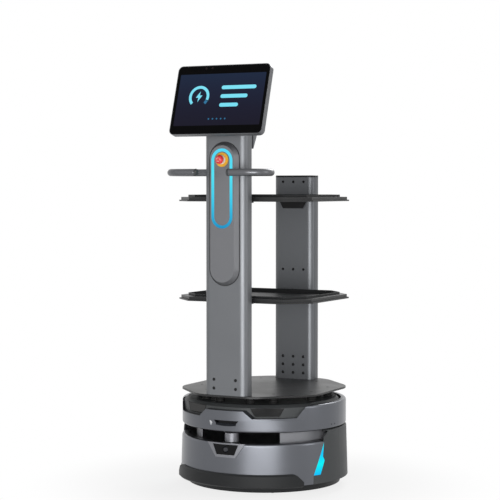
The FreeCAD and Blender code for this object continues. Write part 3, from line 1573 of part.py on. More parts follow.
def make_display():
    where = (0, -DISPLAY_REACH, d.display_level, X_AXIS * -1, d.display_tilt)
    shell = start_body("display_shell")
    outline = sketch_on(shell, "XZ", -d.display_thick)
    display_outline(outline, size_of(0))
    pad(shell, outline, d.display_thick)
    fillet(shell, d.display_round, lying_at(1, d.display_thick))
    recess = sketch_on(shell, "XZ")
    display_outline(recess, d.glass_rim)
    pocket(shell, recess, d.glass_thick)
    node(place(shell, *where))

    glass = start_body("display_glass")
    inset = d.glass_rim + d.fit_gap
    pane = sketch_on(glass, "XZ", -d.glass_thick)
    display_outline(pane, inset)
    pad(glass, pane, d.glass_thick)
    fillet(glass, d.glass_edge, lying_at(1, 0))
    node(place(glass, *where))


# Shelves: a carrier plate with a raised border and a tray inside it, on brackets fixed to the columns

SHELF_HALF_DEPTH = COLUMN_REACH - COLUMN_FACE - d.shelf_gap


def shelf_outline(sketch, inset):
    cut = d.shelf_cut - inset * (2 - math.sqrt(2))
    polygon(sketch, octagon(d.shelf_half_length - inset, SHELF_HALF_DEPTH - inset, cut, cut))


def make_shelf(name, level):
    floor = level + d.carrier_plate
    carrier = start_body(f"{name}_carrier")
    plate = sketch_on(carrier, "XY", level)
    shelf_outline(plate, size_of(0))
    pad(carrier, plate, d.carrier_plate)
    border = sketch_on(carrier, "XY", floor)
    shelf_outline(border, d.border_inset)
    shelf_outline(border, d.tray_inset)
    pad(carrier, border, d.border_height)
    node(place(carrier))

    tray = start_body(f"{name}_tray")
    outside = d.tray_inset + d.fit_gap
    outline = sketch_on(tray, "XY", floor)
    shelf_outline(outline, outside)
    pad(tray, outline, d.tray_height)
    inside = sketch_on(tray, "XY", floor + d.tray_height)
    shelf_outline(inside, outside + d.rim_wall)
    pocket(tray, inside, d.tray_height - d.tray_floor)
    node(place(tray))


def make_shelf_brackets(levels):
    column_back = COLUMN_REACH - COLUMN_FACE
    brackets = []
    for name, level in levels:
        for end, turn in (("rear", 0), ("front", 180)):
            bracket = start_body(f"{name}_{end}_bracket")
            leg = sketch_on(bracket, "XZ", -column_back)
            trapezium(leg, d.bracket_half_bottom, d.bracket_half_top, level - d.bracket_height, level)
            pad(bracket, leg, d.bracket_sheet)
            ledge = sketch_on(bracket, "XY", level - d.bracket_sheet)
            half = d.bracket_half_top
            rectangle(ledge, -half, half, column_back - d.bracket_depth, column_back)
            pad(bracket, ledge, d.bracket_sheet)
            brackets.append(place(bracket, angle=turn))
    group("shelf_brackets", brackets)


make_chassis_tray()
make_chassis_plate()
make_lower_shell()
make_rear_cover()
make_front_bumper()
make_side_lights()
make_camera()
make_lidar_bay()
make_lidar()
make_upper_shell()
make_slot_sensor()
make_notch_windows()
make_top_cover()
make_deck_spacers()
make_deck_plate()
make_box("battery", d.battery_width, d.battery_length, d.battery_height, d.battery_back)
make_box("controller", d.controller_width, d.controller_length, d.controller_height, -d.controller_ahead)
make_drive_brackets()
make_arm_pins()
for side_name, side_sign in SIDES:
    make_arm_spring(side_name, side_sign)
    make_swing_arm(side_name, side_sign)
    make_drive_wheel(side_name, side_sign)
make_caster_housings()
for caster_name, caster_across, caster_back in CASTERS:
    make_caster(caster_name, caster_across, caster_back)
make_front_column()
make_rear_column()
make_column_feet()
make_rear_cap()
make_pod()
make_light_ring()
make_emergency_stop()
make_handle()
make_neck()
make_display()
make_shelf("lower_shelf", d.lower_shelf_level)
make_shelf("upper_shelf", d.upper_shelf_level)
make_shelf_brackets((("lower", d.lower_shelf_level), ("upper", d.upper_shelf_level)))
doc.recompute()

# Every object of the document is sound before anything is written
for thing in doc.Objects:
    if "Invalid" in thing.State or "Error" in thing.State:
        raise RuntimeError(f"{thing.Label} failed: {thing.State}")
for piece in nodes:
    if piece.Shape.isNull() or not piece.Shape.isValid() or not piece.Shape.Solids:
        raise RuntimeError(f"{piece.Label} has no sound shape")

os.makedirs("parts", exist_ok=True)
for piece in nodes:
    piece.Shape.exportStep(f"parts/{piece.Label}.step")
print(f"{len(nodes)} nodes, {sum(len(piece.Shape.Solids) for piece in nodes)} solids")
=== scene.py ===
# %% [markdown]
# # A delivery robot in a studio
#
# The robot is a round driving base with a deck, two columns that carry shelf trays, a leaning display, a
# push handle and an emergency stop. Its hard parts come from a CAD model that is loaded as a fixed frame.
# This lesson gives each part the finish of the real material, adds the small pieces that a CAD model leaves
# out, and lights the robot like a product photograph.

# %% Load the frame
import math

import bmesh
import bpy
from mathutils import Matrix, Vector


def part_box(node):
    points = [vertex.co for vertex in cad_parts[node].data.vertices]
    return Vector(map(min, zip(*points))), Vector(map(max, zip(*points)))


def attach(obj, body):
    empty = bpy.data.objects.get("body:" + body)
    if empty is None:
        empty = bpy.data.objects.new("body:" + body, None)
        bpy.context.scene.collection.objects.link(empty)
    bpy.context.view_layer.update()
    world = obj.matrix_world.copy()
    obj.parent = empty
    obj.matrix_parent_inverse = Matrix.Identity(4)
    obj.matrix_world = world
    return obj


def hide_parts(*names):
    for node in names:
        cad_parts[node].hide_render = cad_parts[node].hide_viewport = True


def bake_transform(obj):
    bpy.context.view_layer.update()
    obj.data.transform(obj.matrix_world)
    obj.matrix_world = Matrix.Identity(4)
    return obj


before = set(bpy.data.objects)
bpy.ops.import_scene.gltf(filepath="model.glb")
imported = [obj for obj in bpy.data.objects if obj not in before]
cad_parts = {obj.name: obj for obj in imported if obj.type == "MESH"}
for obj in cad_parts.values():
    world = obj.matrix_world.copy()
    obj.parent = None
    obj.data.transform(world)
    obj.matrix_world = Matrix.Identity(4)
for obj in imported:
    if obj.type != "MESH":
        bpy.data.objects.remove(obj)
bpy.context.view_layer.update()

# %% [markdown]
# ## Camera
#
# A camera could be set by eye, but here its place was worked out from edges of known size: the display, the
# columns and the round base. It stands about five metres away with a long lens, so that upright edges stay
# nearly upright. The robot's base turns about an upright axis a little behind the frame's origin, and most
# places are measured from there.

# %% Camera
MM = 0.001
AXIS_Y = 45 * MM
CAMERA_TURN = math.radians(26.99)
CAMERA_DISTANCE = 5056 * MM
CAMERA_HEIGHT = 956.3 * MM
LOOK_TURN = math.radians(27.509)
LOOK_DOWN = math.radians(2.344)
FOCAL_PIXELS = 1580.8
IMAGE_PIXELS = 500
SENSOR_WIDTH = 36

camera_data = bpy.data.cameras.new("studio_camera")
camera_data.sensor_width = SENSOR_WIDTH
camera_data.lens = FOCAL_PIXELS * SENSOR_WIDTH / IMAGE_PIXELS
camera = bpy.data.objects.new("studio_camera", camera_data)
camera.location = (
    CAMERA_DISTANCE * math.sin(CAMERA_TURN),
    AXIS_Y - CAMERA_DISTANCE * math.cos(CAMERA_TURN),
    CAMERA_HEIGHT,
)
look = Vector((
    -math.sin(LOOK_TURN) * math.cos(LOOK_DOWN),
    math.cos(LOOK_TURN) * math.cos(LOOK_DOWN),
    -math.sin(LOOK_DOWN),
))
camera.rotation_euler = look.to_track_quat("-Z", "Y").to_euler()
scene = bpy.context.scene
scene.collection.objects.link(camera)
scene.camera = camera
scene.view_settings.view_transform = "Standard"
print("lens:", round(camera_data.lens, 1), "mm")

# %% [markdown]
# ## Helpers for colour and shader nodes
#
# Colours are written as the hex values that a designer would note down. Shaders work in linear light, so one
# function turns hex into linear. Another small function adds any node, sets its properties and fills its
# inputs.

# %% Colour and node helpers
def linear(hex_colour):
    """Linear RGBA of an sRGB hex colour."""
    channels = [int(hex_colour[i:i + 2], 16) / 255 for i in (1, 3, 5)]
    curve = [c / 12.92 if c <= 0.04045 else ((c + 0.055) / 1.055) ** 2.4 for c in channels]
    return (*curve, 1.0)


def add_node(tree, kind, inputs=None, **settings):
    """Add a node, set its properties, and fill its inputs with values or with links from other sockets."""
    item = tree.nodes.new(kind)
    for name, value in settings.items():
        setattr(item, name, value)
    for name, value in (inputs or {}).items():
        if isinstance(value, bpy.types.NodeSocket):
            tree.links.new(value, item.inputs[name])
        else:
            item.inputs[name].default_value = value
    return item


def per_mm(size):
    """Scale of a texture whose features are this many millimetres across."""
    return 1 / (size * MM)


def start_material(name):
    """A new material with an empty shader."""
    material = bpy.data.materials.new(name)
    material.use_nodes = True
    material.node_tree.nodes.clear()
    return material, material.node_tree


def dress(material, *names):
    """Give CAD nodes a finish."""
    for name in names:
        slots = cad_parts[name].data.materials
        slots.clear()
        slots.append(material)
    print(material.name, "on", len(names), "nodes")


print("middle grey in linear light:", round(linear("#808080")[0], 3))

# %% [markdown]
# ## Studio
#
# The robot stands on pale paper in front of a white room. Near the robot the paper is partly matte, so that
# it takes a soft shadow. Further out it fades to the white of the background, which hides its edge. From
# below the paper is clear, so that the wheels can be looked at too.

# %% Paper floor
FLOOR_REACH = 8.0
SHADOW_NEAR = 0.3
SHADOW_FAR = 0.8
PAPER_WHITE = 0.8


def seen_directly(tree):
    """1 for rays from the camera, and for those that a mirror or glass passes on."""
    path = add_node(tree, "ShaderNodeLightPath")
    glossy = add_node(tree, "ShaderNodeMath", {
        0: path.outputs["Is Camera Ray"], 1: path.outputs["Is Glossy Ray"],
    }, operation="MAXIMUM")
    return add_node(tree, "ShaderNodeMath", {
        0: glossy.outputs[0], 1: path.outputs["Is Transmission Ray"],
    }, operation="MAXIMUM").outputs[0]


paper, tree = start_material("matte_studio_paper")
place = add_node(tree, "ShaderNodeTexCoord").outputs["Object"]
distance = add_node(tree, "ShaderNodeVectorMath", {0: place, 1: (0, AXIS_Y, 0)}, operation="DISTANCE")
fade = add_node(tree, "ShaderNodeMapRange", {
    "Value": distance.outputs["Value"], "From Min": SHADOW_NEAR, "From Max": SHADOW_FAR,
    "To Min": PAPER_WHITE,
}, interpolation_type="SMOOTHSTEP")
shown = add_node(tree, "ShaderNodeMath", {
    0: fade.outputs["Result"], 1: seen_directly(tree),
}, operation="MULTIPLY")
matte = add_node(tree, "ShaderNodeBsdfDiffuse", {"Color": linear("#F6F6F6")})
white = add_node(tree, "ShaderNodeEmission", {"Strength": 1.0})
above = add_node(tree, "ShaderNodeMixShader", {
    0: shown.outputs[0], 1: matte.outputs[0], 2: white.outputs[0],
})
clear = add_node(tree, "ShaderNodeBsdfTransparent")
from_below = add_node(tree, "ShaderNodeNewGeometry").outputs["Backfacing"]
sheet = add_node(tree, "ShaderNodeMixShader", {0: from_below, 1: above.outputs[0], 2: clear.outputs[0]})
add_node(tree, "ShaderNodeOutputMaterial", {"Surface": sheet.outputs[0]})

floor_mesh = bpy.data.meshes.new("paper_floor")
corners = [(across * FLOOR_REACH, along * FLOOR_REACH, 0)
           for across, along in ((-1, -1), (1, -1), (1, 1), (-1, 1))]
floor_mesh.from_pydata(corners, [], [(0, 1, 2, 3)])
floor = bpy.data.objects.new("paper_floor", floor_mesh)
floor.data.materials.append(paper)
scene.collection.objects.link(floor)
print("floor reaches", FLOOR_REACH, "m")

# %% [markdown]
# The room is white to the camera and in reflections, but it lights the robot only weakly. Most of the light
# then comes from softboxes, which give it a direction.

# %% White room
ROOM_LIGHT = 0.2
WHITE = linear("#FFFFFF")

room = bpy.data.worlds.new("white_room")
room.use_nodes = True
tree = room.node_tree
tree.nodes.clear()
lit = add_node(tree, "ShaderNodeBackground", {"Color": WHITE, "Strength": ROOM_LIGHT})
seen = add_node(tree, "ShaderNodeBackground", {"Color": WHITE, "Strength": 1.0})
both = add_node(tree, "ShaderNodeMixShader", {0: seen_directly(tree), 1: lit.outputs[0], 2: seen.outputs[0]})
add_node(tree, "ShaderNodeOutputWorld", {"Surface": both.outputs[0]})
scene.world = room
print("room lights at", ROOM_LIGHT)

# %% [markdown]
# Small lamps would give hard spots on the paint. A wide softbox in line with the camera gives the bright
# band down the round base and along the columns' corners instead. Weaker ones fill from the left, draw
# bright edges from both sides, and light the back.

# %% Softboxes
SOFTBOXES = (
    # name, turn from the front in degrees, distance, height, width, length, watts
    ("key_softbox", 23, 3.4, 0.6, 2.7, 1.1, 106),
    ("fill_softbox", -35, 3.6, 1.5, 1.2, 2.0, 4),
    ("left_softbox", -85, 2.6, 0.8, 0.9, 1.3, 1),
    ("right_softbox", 95, 3.0, 1.3, 0.7, 2.2, 14),
    ("rear_softbox", 178, 2.4, 2.5, 1.6, 1.2, 40),
)
LIGHT_TARGET = Vector((0, AXIS_Y, 0.6))
for name, turn, reach, height, width, length, watts in SOFTBOXES:
    lamp_data = bpy.data.lights.new(name, "AREA")
    lamp_data.shape = "RECTANGLE"
    lamp_data.size = width
    lamp_data.size_y = length
    lamp_data.energy = watts
    lamp = bpy.data.objects.new(name, lamp_data)
    angle = math.radians(turn)
    lamp.location = (reach * math.sin(angle), AXIS_Y - reach * math.cos(angle), height)
    lamp.rotation_euler = (LIGHT_TARGET - lamp.location).to_track_quat("-Z", "Y").to_euler()
    scene.collection.objects.link(lamp)
print("softboxes:", len(SOFTBOXES))

# %% [markdown]
# ## Painted and moulded finishes
#
# Most of the robot is painted or moulded plastic and coated aluminium. Each could have a shader of its own,
# but they share one recipe: a base colour that drifts a little between two close shades, a roughness that
# drifts with it, and a fine relief. What tells them apart is how metallic they are, how rough, and how
# large the grain is. The real grain is a few tenths of a millimetre wide, too fine to show, so it is drawn
# about a millimetre wide.

# %% Table of coated finishes
FINISHES = {
    # grain is a width in millimetres, and relief is the strength of the bump that it gives
    # ABS sprayed with metallic paint: flakes sparkle softly, and the film levels to a faint orange peel.
    "metallic_painted_abs": dict(
        shades=("#5D5F64", "#64666B"), metallic=0.92, roughness=(0.28, 0.32), specular=0.3,
        grain=1.1, relief=0.012),
    # The same paint in a lighter tone, on the camera's frame and the lidar: silver with a broad shine.
    "silver_painted_abs": dict(
        shades=("#737478", "#7A7B80"), metallic=0.65, roughness=(0.32, 0.38), specular=0.5,
        grain=1.1, relief=0.03),
    # Extruded aluminium sprayed with a satin metallic coat: an even grey that lights up along round corners.
    "satin_coated_aluminium": dict(
        shades=("#616366", "#686A6D"), metallic=0.65, roughness=(0.4, 0.45), specular=0.5,
        grain=1.4, relief=0.03),
    # The same coat in a darker tone on the rear column: painted shade, as if it stood in less light than the
    # front one.
    "painted_shade_coated_aluminium": dict(
        shades=("#585A5D", "#5E6063"), metallic=0.65, roughness=(0.38, 0.43), specular=0.5,
        grain=1.4, relief=0.03),
    # Blasted and anodised aluminium of the display's back: a quiet grey with a weak, wide sheen.
    "grey_anodised_aluminium": dict(
        shades=("#5E5F62", "#656669"), metallic=0.4, roughness=(0.34, 0.4), specular=0.35,
        grain=1.2, relief=0.04),
    # Moulded ABS sprayed to match the columns: the same grey, with a softer shine.
    "satin_painted_abs": dict(
        shades=("#636467", "#6A6B6E"), metallic=0.55, roughness=(0.36, 0.42), specular=0.5,
        grain=1.2, relief=0.03),
    # Dark ABS from a finely grained mould, which keeps its sheen broad and weak.
    "grained_dark_abs": dict(
        shades=("#383A3B", "#3E4041"), metallic=0.0, roughness=(0.44, 0.52), specular=0.2,
        grain=1.0, relief=0.08),
    # Black ABS from such a mould: its shape shows almost by that sheen alone.
    "grained_black_abs": dict(
        shades=("#1B1C1D", "#212223"), metallic=0.0, roughness=(0.42, 0.5), specular=0.16,
        grain=1.0, relief=0.1),
    # Aluminium sheet with a fine-textured black powder coat, which scatters light in a grey sheen.
    "black_powder_coat": dict(
        shades=("#18191A", "#212122"), metallic=0.0, roughness=(0.34, 0.42), specular=0.28,
        grain=1.3, relief=0.14),
    # Bent steel tube with a satin dark coat: one soft bright line runs along each bend.
    "satin_coated_tube": dict(
        shades=("#5A5B5E", "#626366"), metallic=0.85, roughness=(0.33, 0.38), specular=0.4,
        grain=1.2, relief=0.04),
    # Vulcanised rubber, dull and slightly dusty, so that it shows hardly any highlight.
    "black_rubber": dict(
        shades=("#151515", "#1C1C1C"), metallic=0.0, roughness=(0.6, 0.75), specular=0.24,
        grain=0.9, relief=0.15),
    # Cast polyurethane of the casters' treads: a middle grey with a waxy shine.
    "grey_polyurethane": dict(
        shades=("#4E4F50", "#575859"), metallic=0.0, roughness=(0.4, 0.5), specular=0.4,
        grain=1.0, relief=0.08),
    # Moulded ABS of the battery's casing, told from its neighbours by a blue cast.
    "blue_grey_abs": dict(
        shades=("#3C434B", "#434A52"), metallic=0.0, roughness=(0.45, 0.55), specular=0.4,
        grain=1.0, relief=0.1),
    # ABS of the stop's disc, coloured through and moulded smooth: a warm yellow with a soft highlight.
    "yellow_abs": dict(
        shades=("#CC9427", "#D49E30"), metallic=0.0, roughness=(0.34, 0.4), specular=0.24,
        grain=0.9, relief=0.05),
    # ABS of the stop's head from a polished mould: a clear red with a small, sharp highlight.
    "red_abs": dict(
        shades=("#C4262E", "#CC3038"), metallic=0.0, roughness=(0.18, 0.24), specular=0.4,
        grain=1.2, relief=0.03),
    # Moulded nylon of the stop's collar: ivory, and a little waxy.
    "ivory_nylon": dict(
        shades=("#C2B2A6", "#CBBBAF"), metallic=0.0, roughness=(0.36, 0.42), specular=0.32,
        grain=1.0, relief=0.04),
    # Machined aluminium with a satin anodised skin: pale, with highlights drawn wide.
    "satin_anodised_aluminium": dict(
        shades=("#9A9CA0", "#A6A8AC"), metallic=1.0, roughness=(0.3, 0.38), specular=0.5,
        grain=1.0, relief=0.04),
    # Turned and zinc-plated steel: bright grey, and a little uneven as plating is.
    "zinc_plated_steel": dict(
        shades=("#9C9DA0", "#AAABAE"), metallic=1.0, roughness=(0.3, 0.4), specular=0.5,
        grain=1.2, relief=0.05),
    # Steel of screws, inserts and brackets with a black oxide skin, which leaves only a faint metal shine.
    "black_oxide_steel": dict(
        shades=("#101011", "#161617"), metallic=0.3, roughness=(0.45, 0.55), specular=0.25,
        grain=0.8, relief=0.05),
}
print("coated finishes:", len(FINISHES))

# %% [markdown]
# One function builds the shader for any row of the table. A coarse noise stands for the way a coat varies
# over a hand's breadth and drifts the roughness. A fine one is the grain, which mottles the colour and lifts
# the surface. Metals keep the shader's own IOR, and plastics get that of ABS.

# %% Shader of a coated finish
BUMP_DEPTH = 0.25 * MM
PLASTIC_IOR = 1.53
DRIFT_SIZE = 90
SHADE_LIFT = 0.2
NOISE_LOW = 0.2
NOISE_HIGH = 0.8


def coated(name):
    """Material from the table: two close shades, drifting roughness and a fine relief."""
    recipe = FINISHES[name]
    material, tree = start_material(name)
    place = add_node(tree, "ShaderNodeTexCoord").outputs["Object"]
    grain = add_node(tree, "ShaderNodeTexNoise", {
        "Vector": place, "Scale": per_mm(recipe["grain"]), "Detail": 2.0, "Roughness": 0.6,
    }).outputs["Fac"]
    drift = add_node(tree, "ShaderNodeTexNoise", {
        "Vector": place, "Scale": per_mm(DRIFT_SIZE), "Detail": 3.0,
    }).outputs["Fac"]
    amount = add_node(tree, "ShaderNodeMath", {0: grain, 1: drift, 2: SHADE_LIFT}, operation="MULTIPLY_ADD")
    dark, pale = [linear(shade) for shade in recipe["shades"]]
    colour = add_node(tree, "ShaderNodeMix", {
        "Factor": amount.outputs[0], 6: dark, 7: pale,
    }, data_type="RGBA")
    low, high = recipe["roughness"]
    rough = add_node(tree, "ShaderNodeMapRange", {
        "Value": drift, "From Min": NOISE_LOW, "From Max": NOISE_HIGH, "To Min": low, "To Max": high,
    }, interpolation_type="SMOOTHSTEP")
    relief = add_node(tree, "ShaderNodeBump", {
        "Height": grain, "Strength": recipe["relief"], "Distance": BUMP_DEPTH,
    })
    shader = add_node(tree, "ShaderNodeBsdfPrincipled", {
        "Base Color": colour.outputs[2], "Roughness": rough.outputs["Result"],
        "Normal": relief.outputs["Normal"], "Metallic": recipe["metallic"],
        "Specular IOR Level": recipe["specular"],
    })
    if recipe["metallic"] == 0:
        shader.inputs["IOR"].default_value = PLASTIC_IOR
    add_node(tree, "ShaderNodeOutputMaterial", {"Surface": shader.outputs[0]})
    return material


FINISH = {name: coated(name) for name in FINISHES}
print("materials made:", len(FINISH))

# %% [markdown]
# The painted shells and columns carry the robot's look, so they come first. What is black holds the rest
# together, and what is bare metal lies inside the base.

# %% Dress the coated nodes
CASTERS = ("front_left", "front_right", "rear_left", "rear_right")
COATED_NODES = {
    "metallic_painted_abs": ("lower_shell", "upper_shell"),
    "silver_painted_abs": ("camera_bezel", "lidar_head"),
    "satin_coated_aluminium": ("front_column", "display_neck"),
    "painted_shade_coated_aluminium": ("rear_column",),
    "grey_anodised_aluminium": ("display_shell",),
    "satin_painted_abs": ("pod",),
    "grained_dark_abs": ("rear_cover", "top_cover"),
    "grained_black_abs": ("chassis_tray", "front_bumper", "rear_cap", "lidar_base", "lower_shelf_tray",
                          "upper_shelf_tray"),
    "black_powder_coat": ("deck_plate", "lower_shelf_carrier", "upper_shelf_carrier", "chassis_plate",
                          "controller"),
    "black_oxide_steel": ("shelf_brackets",),
    "satin_coated_tube": ("handle",),
    "black_rubber": ("tyre_left", "tyre_right", "deck_spacers"),
    "blue_grey_abs": ("battery",),
    "yellow_abs": ("stop_disc",),
    "red_abs": ("stop_head",),
    "ivory_nylon": ("stop_collar",),
    "satin_anodised_aluminium": ("drive_brackets", "swing_arm_left", "swing_arm_right", "wheel_hub_left",
                                 "wheel_hub_right", "column_feet"),
    "zinc_plated_steel": ("arm_pins", "arm_spring_left", "arm_spring_right", "drive_axle_left",
                          "drive_axle_right", "stop_stem", "caster_housings",
                          *(f"caster_fork_{caster}" for caster in CASTERS)),
    "grey_polyurethane": tuple(f"caster_wheel_{caster}" for caster in CASTERS),
}
for name, nodes in COATED_NODES.items():
    dress(FINISH[name], *nodes)

# %% [markdown]
# ## The lidar's bay
#
# The bay is one moulding. Its upright wall is painted grey, and its floor is drawn nearly black: painted
# shade of the recess that lies under the upper shell. Both tones could be split by height, but a mask from
# the way the surface faces follows the moulding wherever it bends.

# %% Bay: grey wall, floor in painted shade
WALL_FACING = 0.4
FLOOR_FACING = 0.7
WALL_ROUGHNESS = 0.4
FLOOR_ROUGHNESS = 0.32
PAINT_GRAIN = 0.9

bay, tree = start_material("grey_wall_painted_shade_floor")
normal = add_node(tree, "ShaderNodeNewGeometry").outputs["Normal"]
upward = add_node(tree, "ShaderNodeSeparateXYZ", {"Vector": normal}).outputs["Z"]
level = add_node(tree, "ShaderNodeMath", {0: upward}, operation="ABSOLUTE")
# Faces that look upwards are the floor, which gets the painted shade.
shade_floor_mask = add_node(tree, "ShaderNodeMapRange", {
    "Value": level.outputs[0], "From Min": WALL_FACING, "From Max": FLOOR_FACING,
}).outputs["Result"]
place = add_node(tree, "ShaderNodeTexCoord").outputs["Object"]
grain = add_node(tree, "ShaderNodeTexNoise", {
    "Vector": place, "Scale": per_mm(PAINT_GRAIN), "Detail": 2.0,
}).outputs["Fac"]
# The wall's grey, and a near-black floor that is painted shade of the recess under the upper shell.
tone = add_node(tree, "ShaderNodeMix", {
    "Factor": shade_floor_mask, 6: linear("#7C7D81"), 7: linear("#19191A"),
}, data_type="RGBA")
relief = add_node(tree, "ShaderNodeBump", {"Height": grain, "Strength": 0.1, "Distance": BUMP_DEPTH})
rough = add_node(tree, "ShaderNodeMapRange", {
    "Value": shade_floor_mask, "To Min": WALL_ROUGHNESS, "To Max": FLOOR_ROUGHNESS,
})
shader = add_node(tree, "ShaderNodeBsdfPrincipled", {
    "Base Color": tone.outputs[2], "Roughness": rough.outputs["Result"], "Normal": relief.outputs["Normal"],
    "IOR": PLASTIC_IOR, "Specular IOR Level": 0.32,
})
add_node(tree, "ShaderNodeOutputMaterial", {"Surface": shader.outputs[0]})
dress(bay, "lidar_bay")

# %% [markdown]
# ## Glass and clear plastic
#
# Sensor windows are black acrylic that only infrared passes, so to the eye they are a dark polished pane.
# The display has a cover glass with an anti-reflection coat, printed black on its back. The camera's lens is
# a small dark dome. Real glass could be see-through, but nothing behind these panes is meant to be seen.
# Polished surfaces are nearly even, so their detail is a trace of smudge in the colour and the roughness.

# %% Polished finishes
POLISHED = {
    # name: shades, roughness, IOR, specular level
    # Cast acrylic dyed black: deep and almost without a reflection.
    "black_acrylic": (("#050506", "#09090B"), (0.06, 0.12), 1.49, 0.15),
    # The same sheet with a smoked tint, which takes a soft reflection.
    "smoked_acrylic": (("#070708", "#0C0C0D"), (0.1, 0.18), 1.49, 0.25),
    # Ground lens glass with a coat that leaves a reddish tint.
    "tinted_lens_glass": (("#1A1315", "#231A1C"), (0.08, 0.14), 1.52, 0.06),
    # Float glass with an anti-reflection coat: an even black that stays dark under the softboxes.
    "coated_cover_glass": (("#030304", "#060607"), (0.05, 0.1), 1.52, 0.03),
    # Polished optical glass with a blue coat: a sharp glint on a dark dome.
    "coated_lens_glass": (("#05060C", "#10131E"), (0.02, 0.05), 1.6, 0.5),
}
SMUDGE_SIZE = 35


def polished(name):
    """Material from the table: a dark, smooth surface with a trace of smudge."""
    (dark, pale), (low, high), ior, specular = POLISHED[name]
    material, tree = start_material(name)
    place = add_node(tree, "ShaderNodeTexCoord").outputs["Object"]
    smudge = add_node(tree, "ShaderNodeTexNoise", {
        "Vector": place, "Scale": per_mm(SMUDGE_SIZE), "Detail": 4.0,
    }).outputs["Fac"]
    colour = add_node(tree, "ShaderNodeMix", {
        "Factor": smudge, 6: linear(dark), 7: linear(pale),
    }, data_type="RGBA")
    rough = add_node(tree, "ShaderNodeMapRange", {
        "Value": smudge, "From Min": NOISE_LOW, "From Max": NOISE_HIGH, "To Min": low, "To Max": high,
    }, interpolation_type="SMOOTHSTEP")
    shader = add_node(tree, "ShaderNodeBsdfPrincipled", {
        "Base Color": colour.outputs[2], "Roughness": rough.outputs["Result"], "IOR": ior,
        "Specular IOR Level": specular,
    })
    add_node(tree, "ShaderNodeOutputMaterial", {"Surface": shader.outputs[0]})
    return material


GLOSS = {name: polished(name) for name in POLISHED}
dress(GLOSS["black_acrylic"], "camera_window", "slot_sensor")
dress(GLOSS["smoked_acrylic"], "notch_windows")
dress(GLOSS["coated_cover_glass"], "display_glass")
dress(GLOSS["coated_lens_glass"], "camera_lens")

# %% [markdown]
# ## Lights of the robot
#
# The ring on the front column and the lights on the base's sides are frosted acrylic covers, moulded over
# rows of LEDs. From outside they are evenly bright. The ring turns bluer towards its lower end, and the side
# lights change between two blues. Real lamps could be put behind them, but an emission of about 1 shows the
# colour as it is written. The cover itself is nearly black, so that the studio's light adds little.

# %% Frosted lights
GLOW = 0.95
ACRYLIC_IOR = 1.49


def glowing(name, ends, hexes):
    """Emission that runs through the colours from a lower height to an upper one."""
    material, tree = start_material(name)
    place = add_node(tree, "ShaderNodeTexCoord").outputs["Object"]
    height = add_node(tree, "ShaderNodeSeparateXYZ", {"Vector": place}).outputs["Z"]
    along = add_node(tree, "ShaderNodeMapRange", {
        "Value": height, "From Min": ends[0], "From Max": ends[1],
    }).outputs["Result"]
    ramp = add_node(tree, "ShaderNodeValToRGB", {"Fac": along})
    stops = ramp.color_ramp.elements
    while len(stops) < len(hexes):
        stops.new(0.5)
    for number, hex_colour in enumerate(hexes):
        stops[number].position = number / (len(hexes) - 1)
        stops[number].color = linear(hex_colour)
    frost = add_node(tree, "ShaderNodeBsdfPrincipled", {
        "Base Color": linear("#020303"), "Roughness": 0.4, "IOR": ACRYLIC_IOR, "Specular IOR Level": 0.03,
        "Emission Color": ramp.outputs["Color"], "Emission Strength": GLOW,
    })
    add_node(tree, "ShaderNodeOutputMaterial", {"Surface": frost.outputs[0]})
    return material


ring_ends = [corner.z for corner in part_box("light_ring")]
side_ends = [corner.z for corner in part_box("side_lights")]
ring_light = glowing("frosted_ring_light", ring_ends, ("#2293C8", "#3ECDF0", "#55E8FB", "#57DCFA"))
side_light = glowing("frosted_side_light", side_ends, ("#18C0FF", "#00FAFF", "#14C8FF", "#00F0FF"))
dress(ring_light, "light_ring")
dress(side_light, "side_lights")

# %% [markdown]
# ## Helpers for small pieces
#
# Small pieces could be modelled by hand, but most are one of two kinds: turned pieces such as screws, caps
# and buffers, and flat plates cut to an outline, such as the marks on the screen. One function skins a stack
# of rings, another thickens an outline, and both work in a local frame that stands on a face. Pieces of one
# kind share a mesh.

# %% Mesh helpers
AROUND = 36
SMOOTH_ANGLE = math.radians(35)


def stand_on(point, normal, up=(0, 0, 1)):
    """Local frame on a face: z along its normal, y as near to up as can be."""
    z = Vector(normal).normalized()
    x = Vector(up).cross(z).normalized()
    turn = Matrix((x, z.cross(x), z)).transposed().to_4x4()
    return Matrix.Translation(point) @ turn


def bridge(mesh, low, high):
    """A band of faces between two closed loops with as many points each."""
    for step in range(len(low)):
        after = (step + 1) % len(low)
        mesh.faces.new((low[step], low[after], high[after], high[step]))


def lay_loop(mesh, outline, height, where):
    """Points of an outline in millimetres, at a height in a local frame."""
    return [mesh.verts.new(where @ (Vector((x, y, height)) * MM)) for x, y in outline]


def skin_rings(mesh, rings, where):
    """Skin rings given as radius and height in millimetres, and True where six-sided; close both ends."""
    loops = []
    for radius, height, *six_sided in rings:
        outline = []
        for step in range(AROUND):
            angle = 2 * math.pi * step / AROUND
            reach = radius
            if six_sided:
                reach = radius / math.cos(angle % (math.pi / 3) - math.pi / 6)
            outline.append((reach * math.cos(angle), reach * math.sin(angle)))
        loops.append(lay_loop(mesh, outline, height, where))
    for low, high in zip(loops, loops[1:]):
        bridge(mesh, low, high)
    mesh.faces.new(reversed(loops[0]))
    mesh.faces.new(loops[-1])


def thicken(mesh, outline, thickness, where):
    """A plate from an outline given anticlockwise in millimetres, as thick as given."""
    low = lay_loop(mesh, outline, 0, where)
    high = lay_loop(mesh, outline, thickness, where)
    mesh.faces.new(reversed(low))
    mesh.faces.new(high)
    bridge(mesh, low, high)


def thicken_ring(mesh, outer, inner, thickness, where):
    """A flat ring between two outlines with as many points each, as thick as given."""
    stack = ((outer, 0), (outer, thickness), (inner, thickness), (inner, 0))
    loops = [lay_loop(mesh, outline, height, where) for outline, height in stack]
    for low, high in zip(loops, loops[1:] + loops[:1]):
        bridge(mesh, low, high)


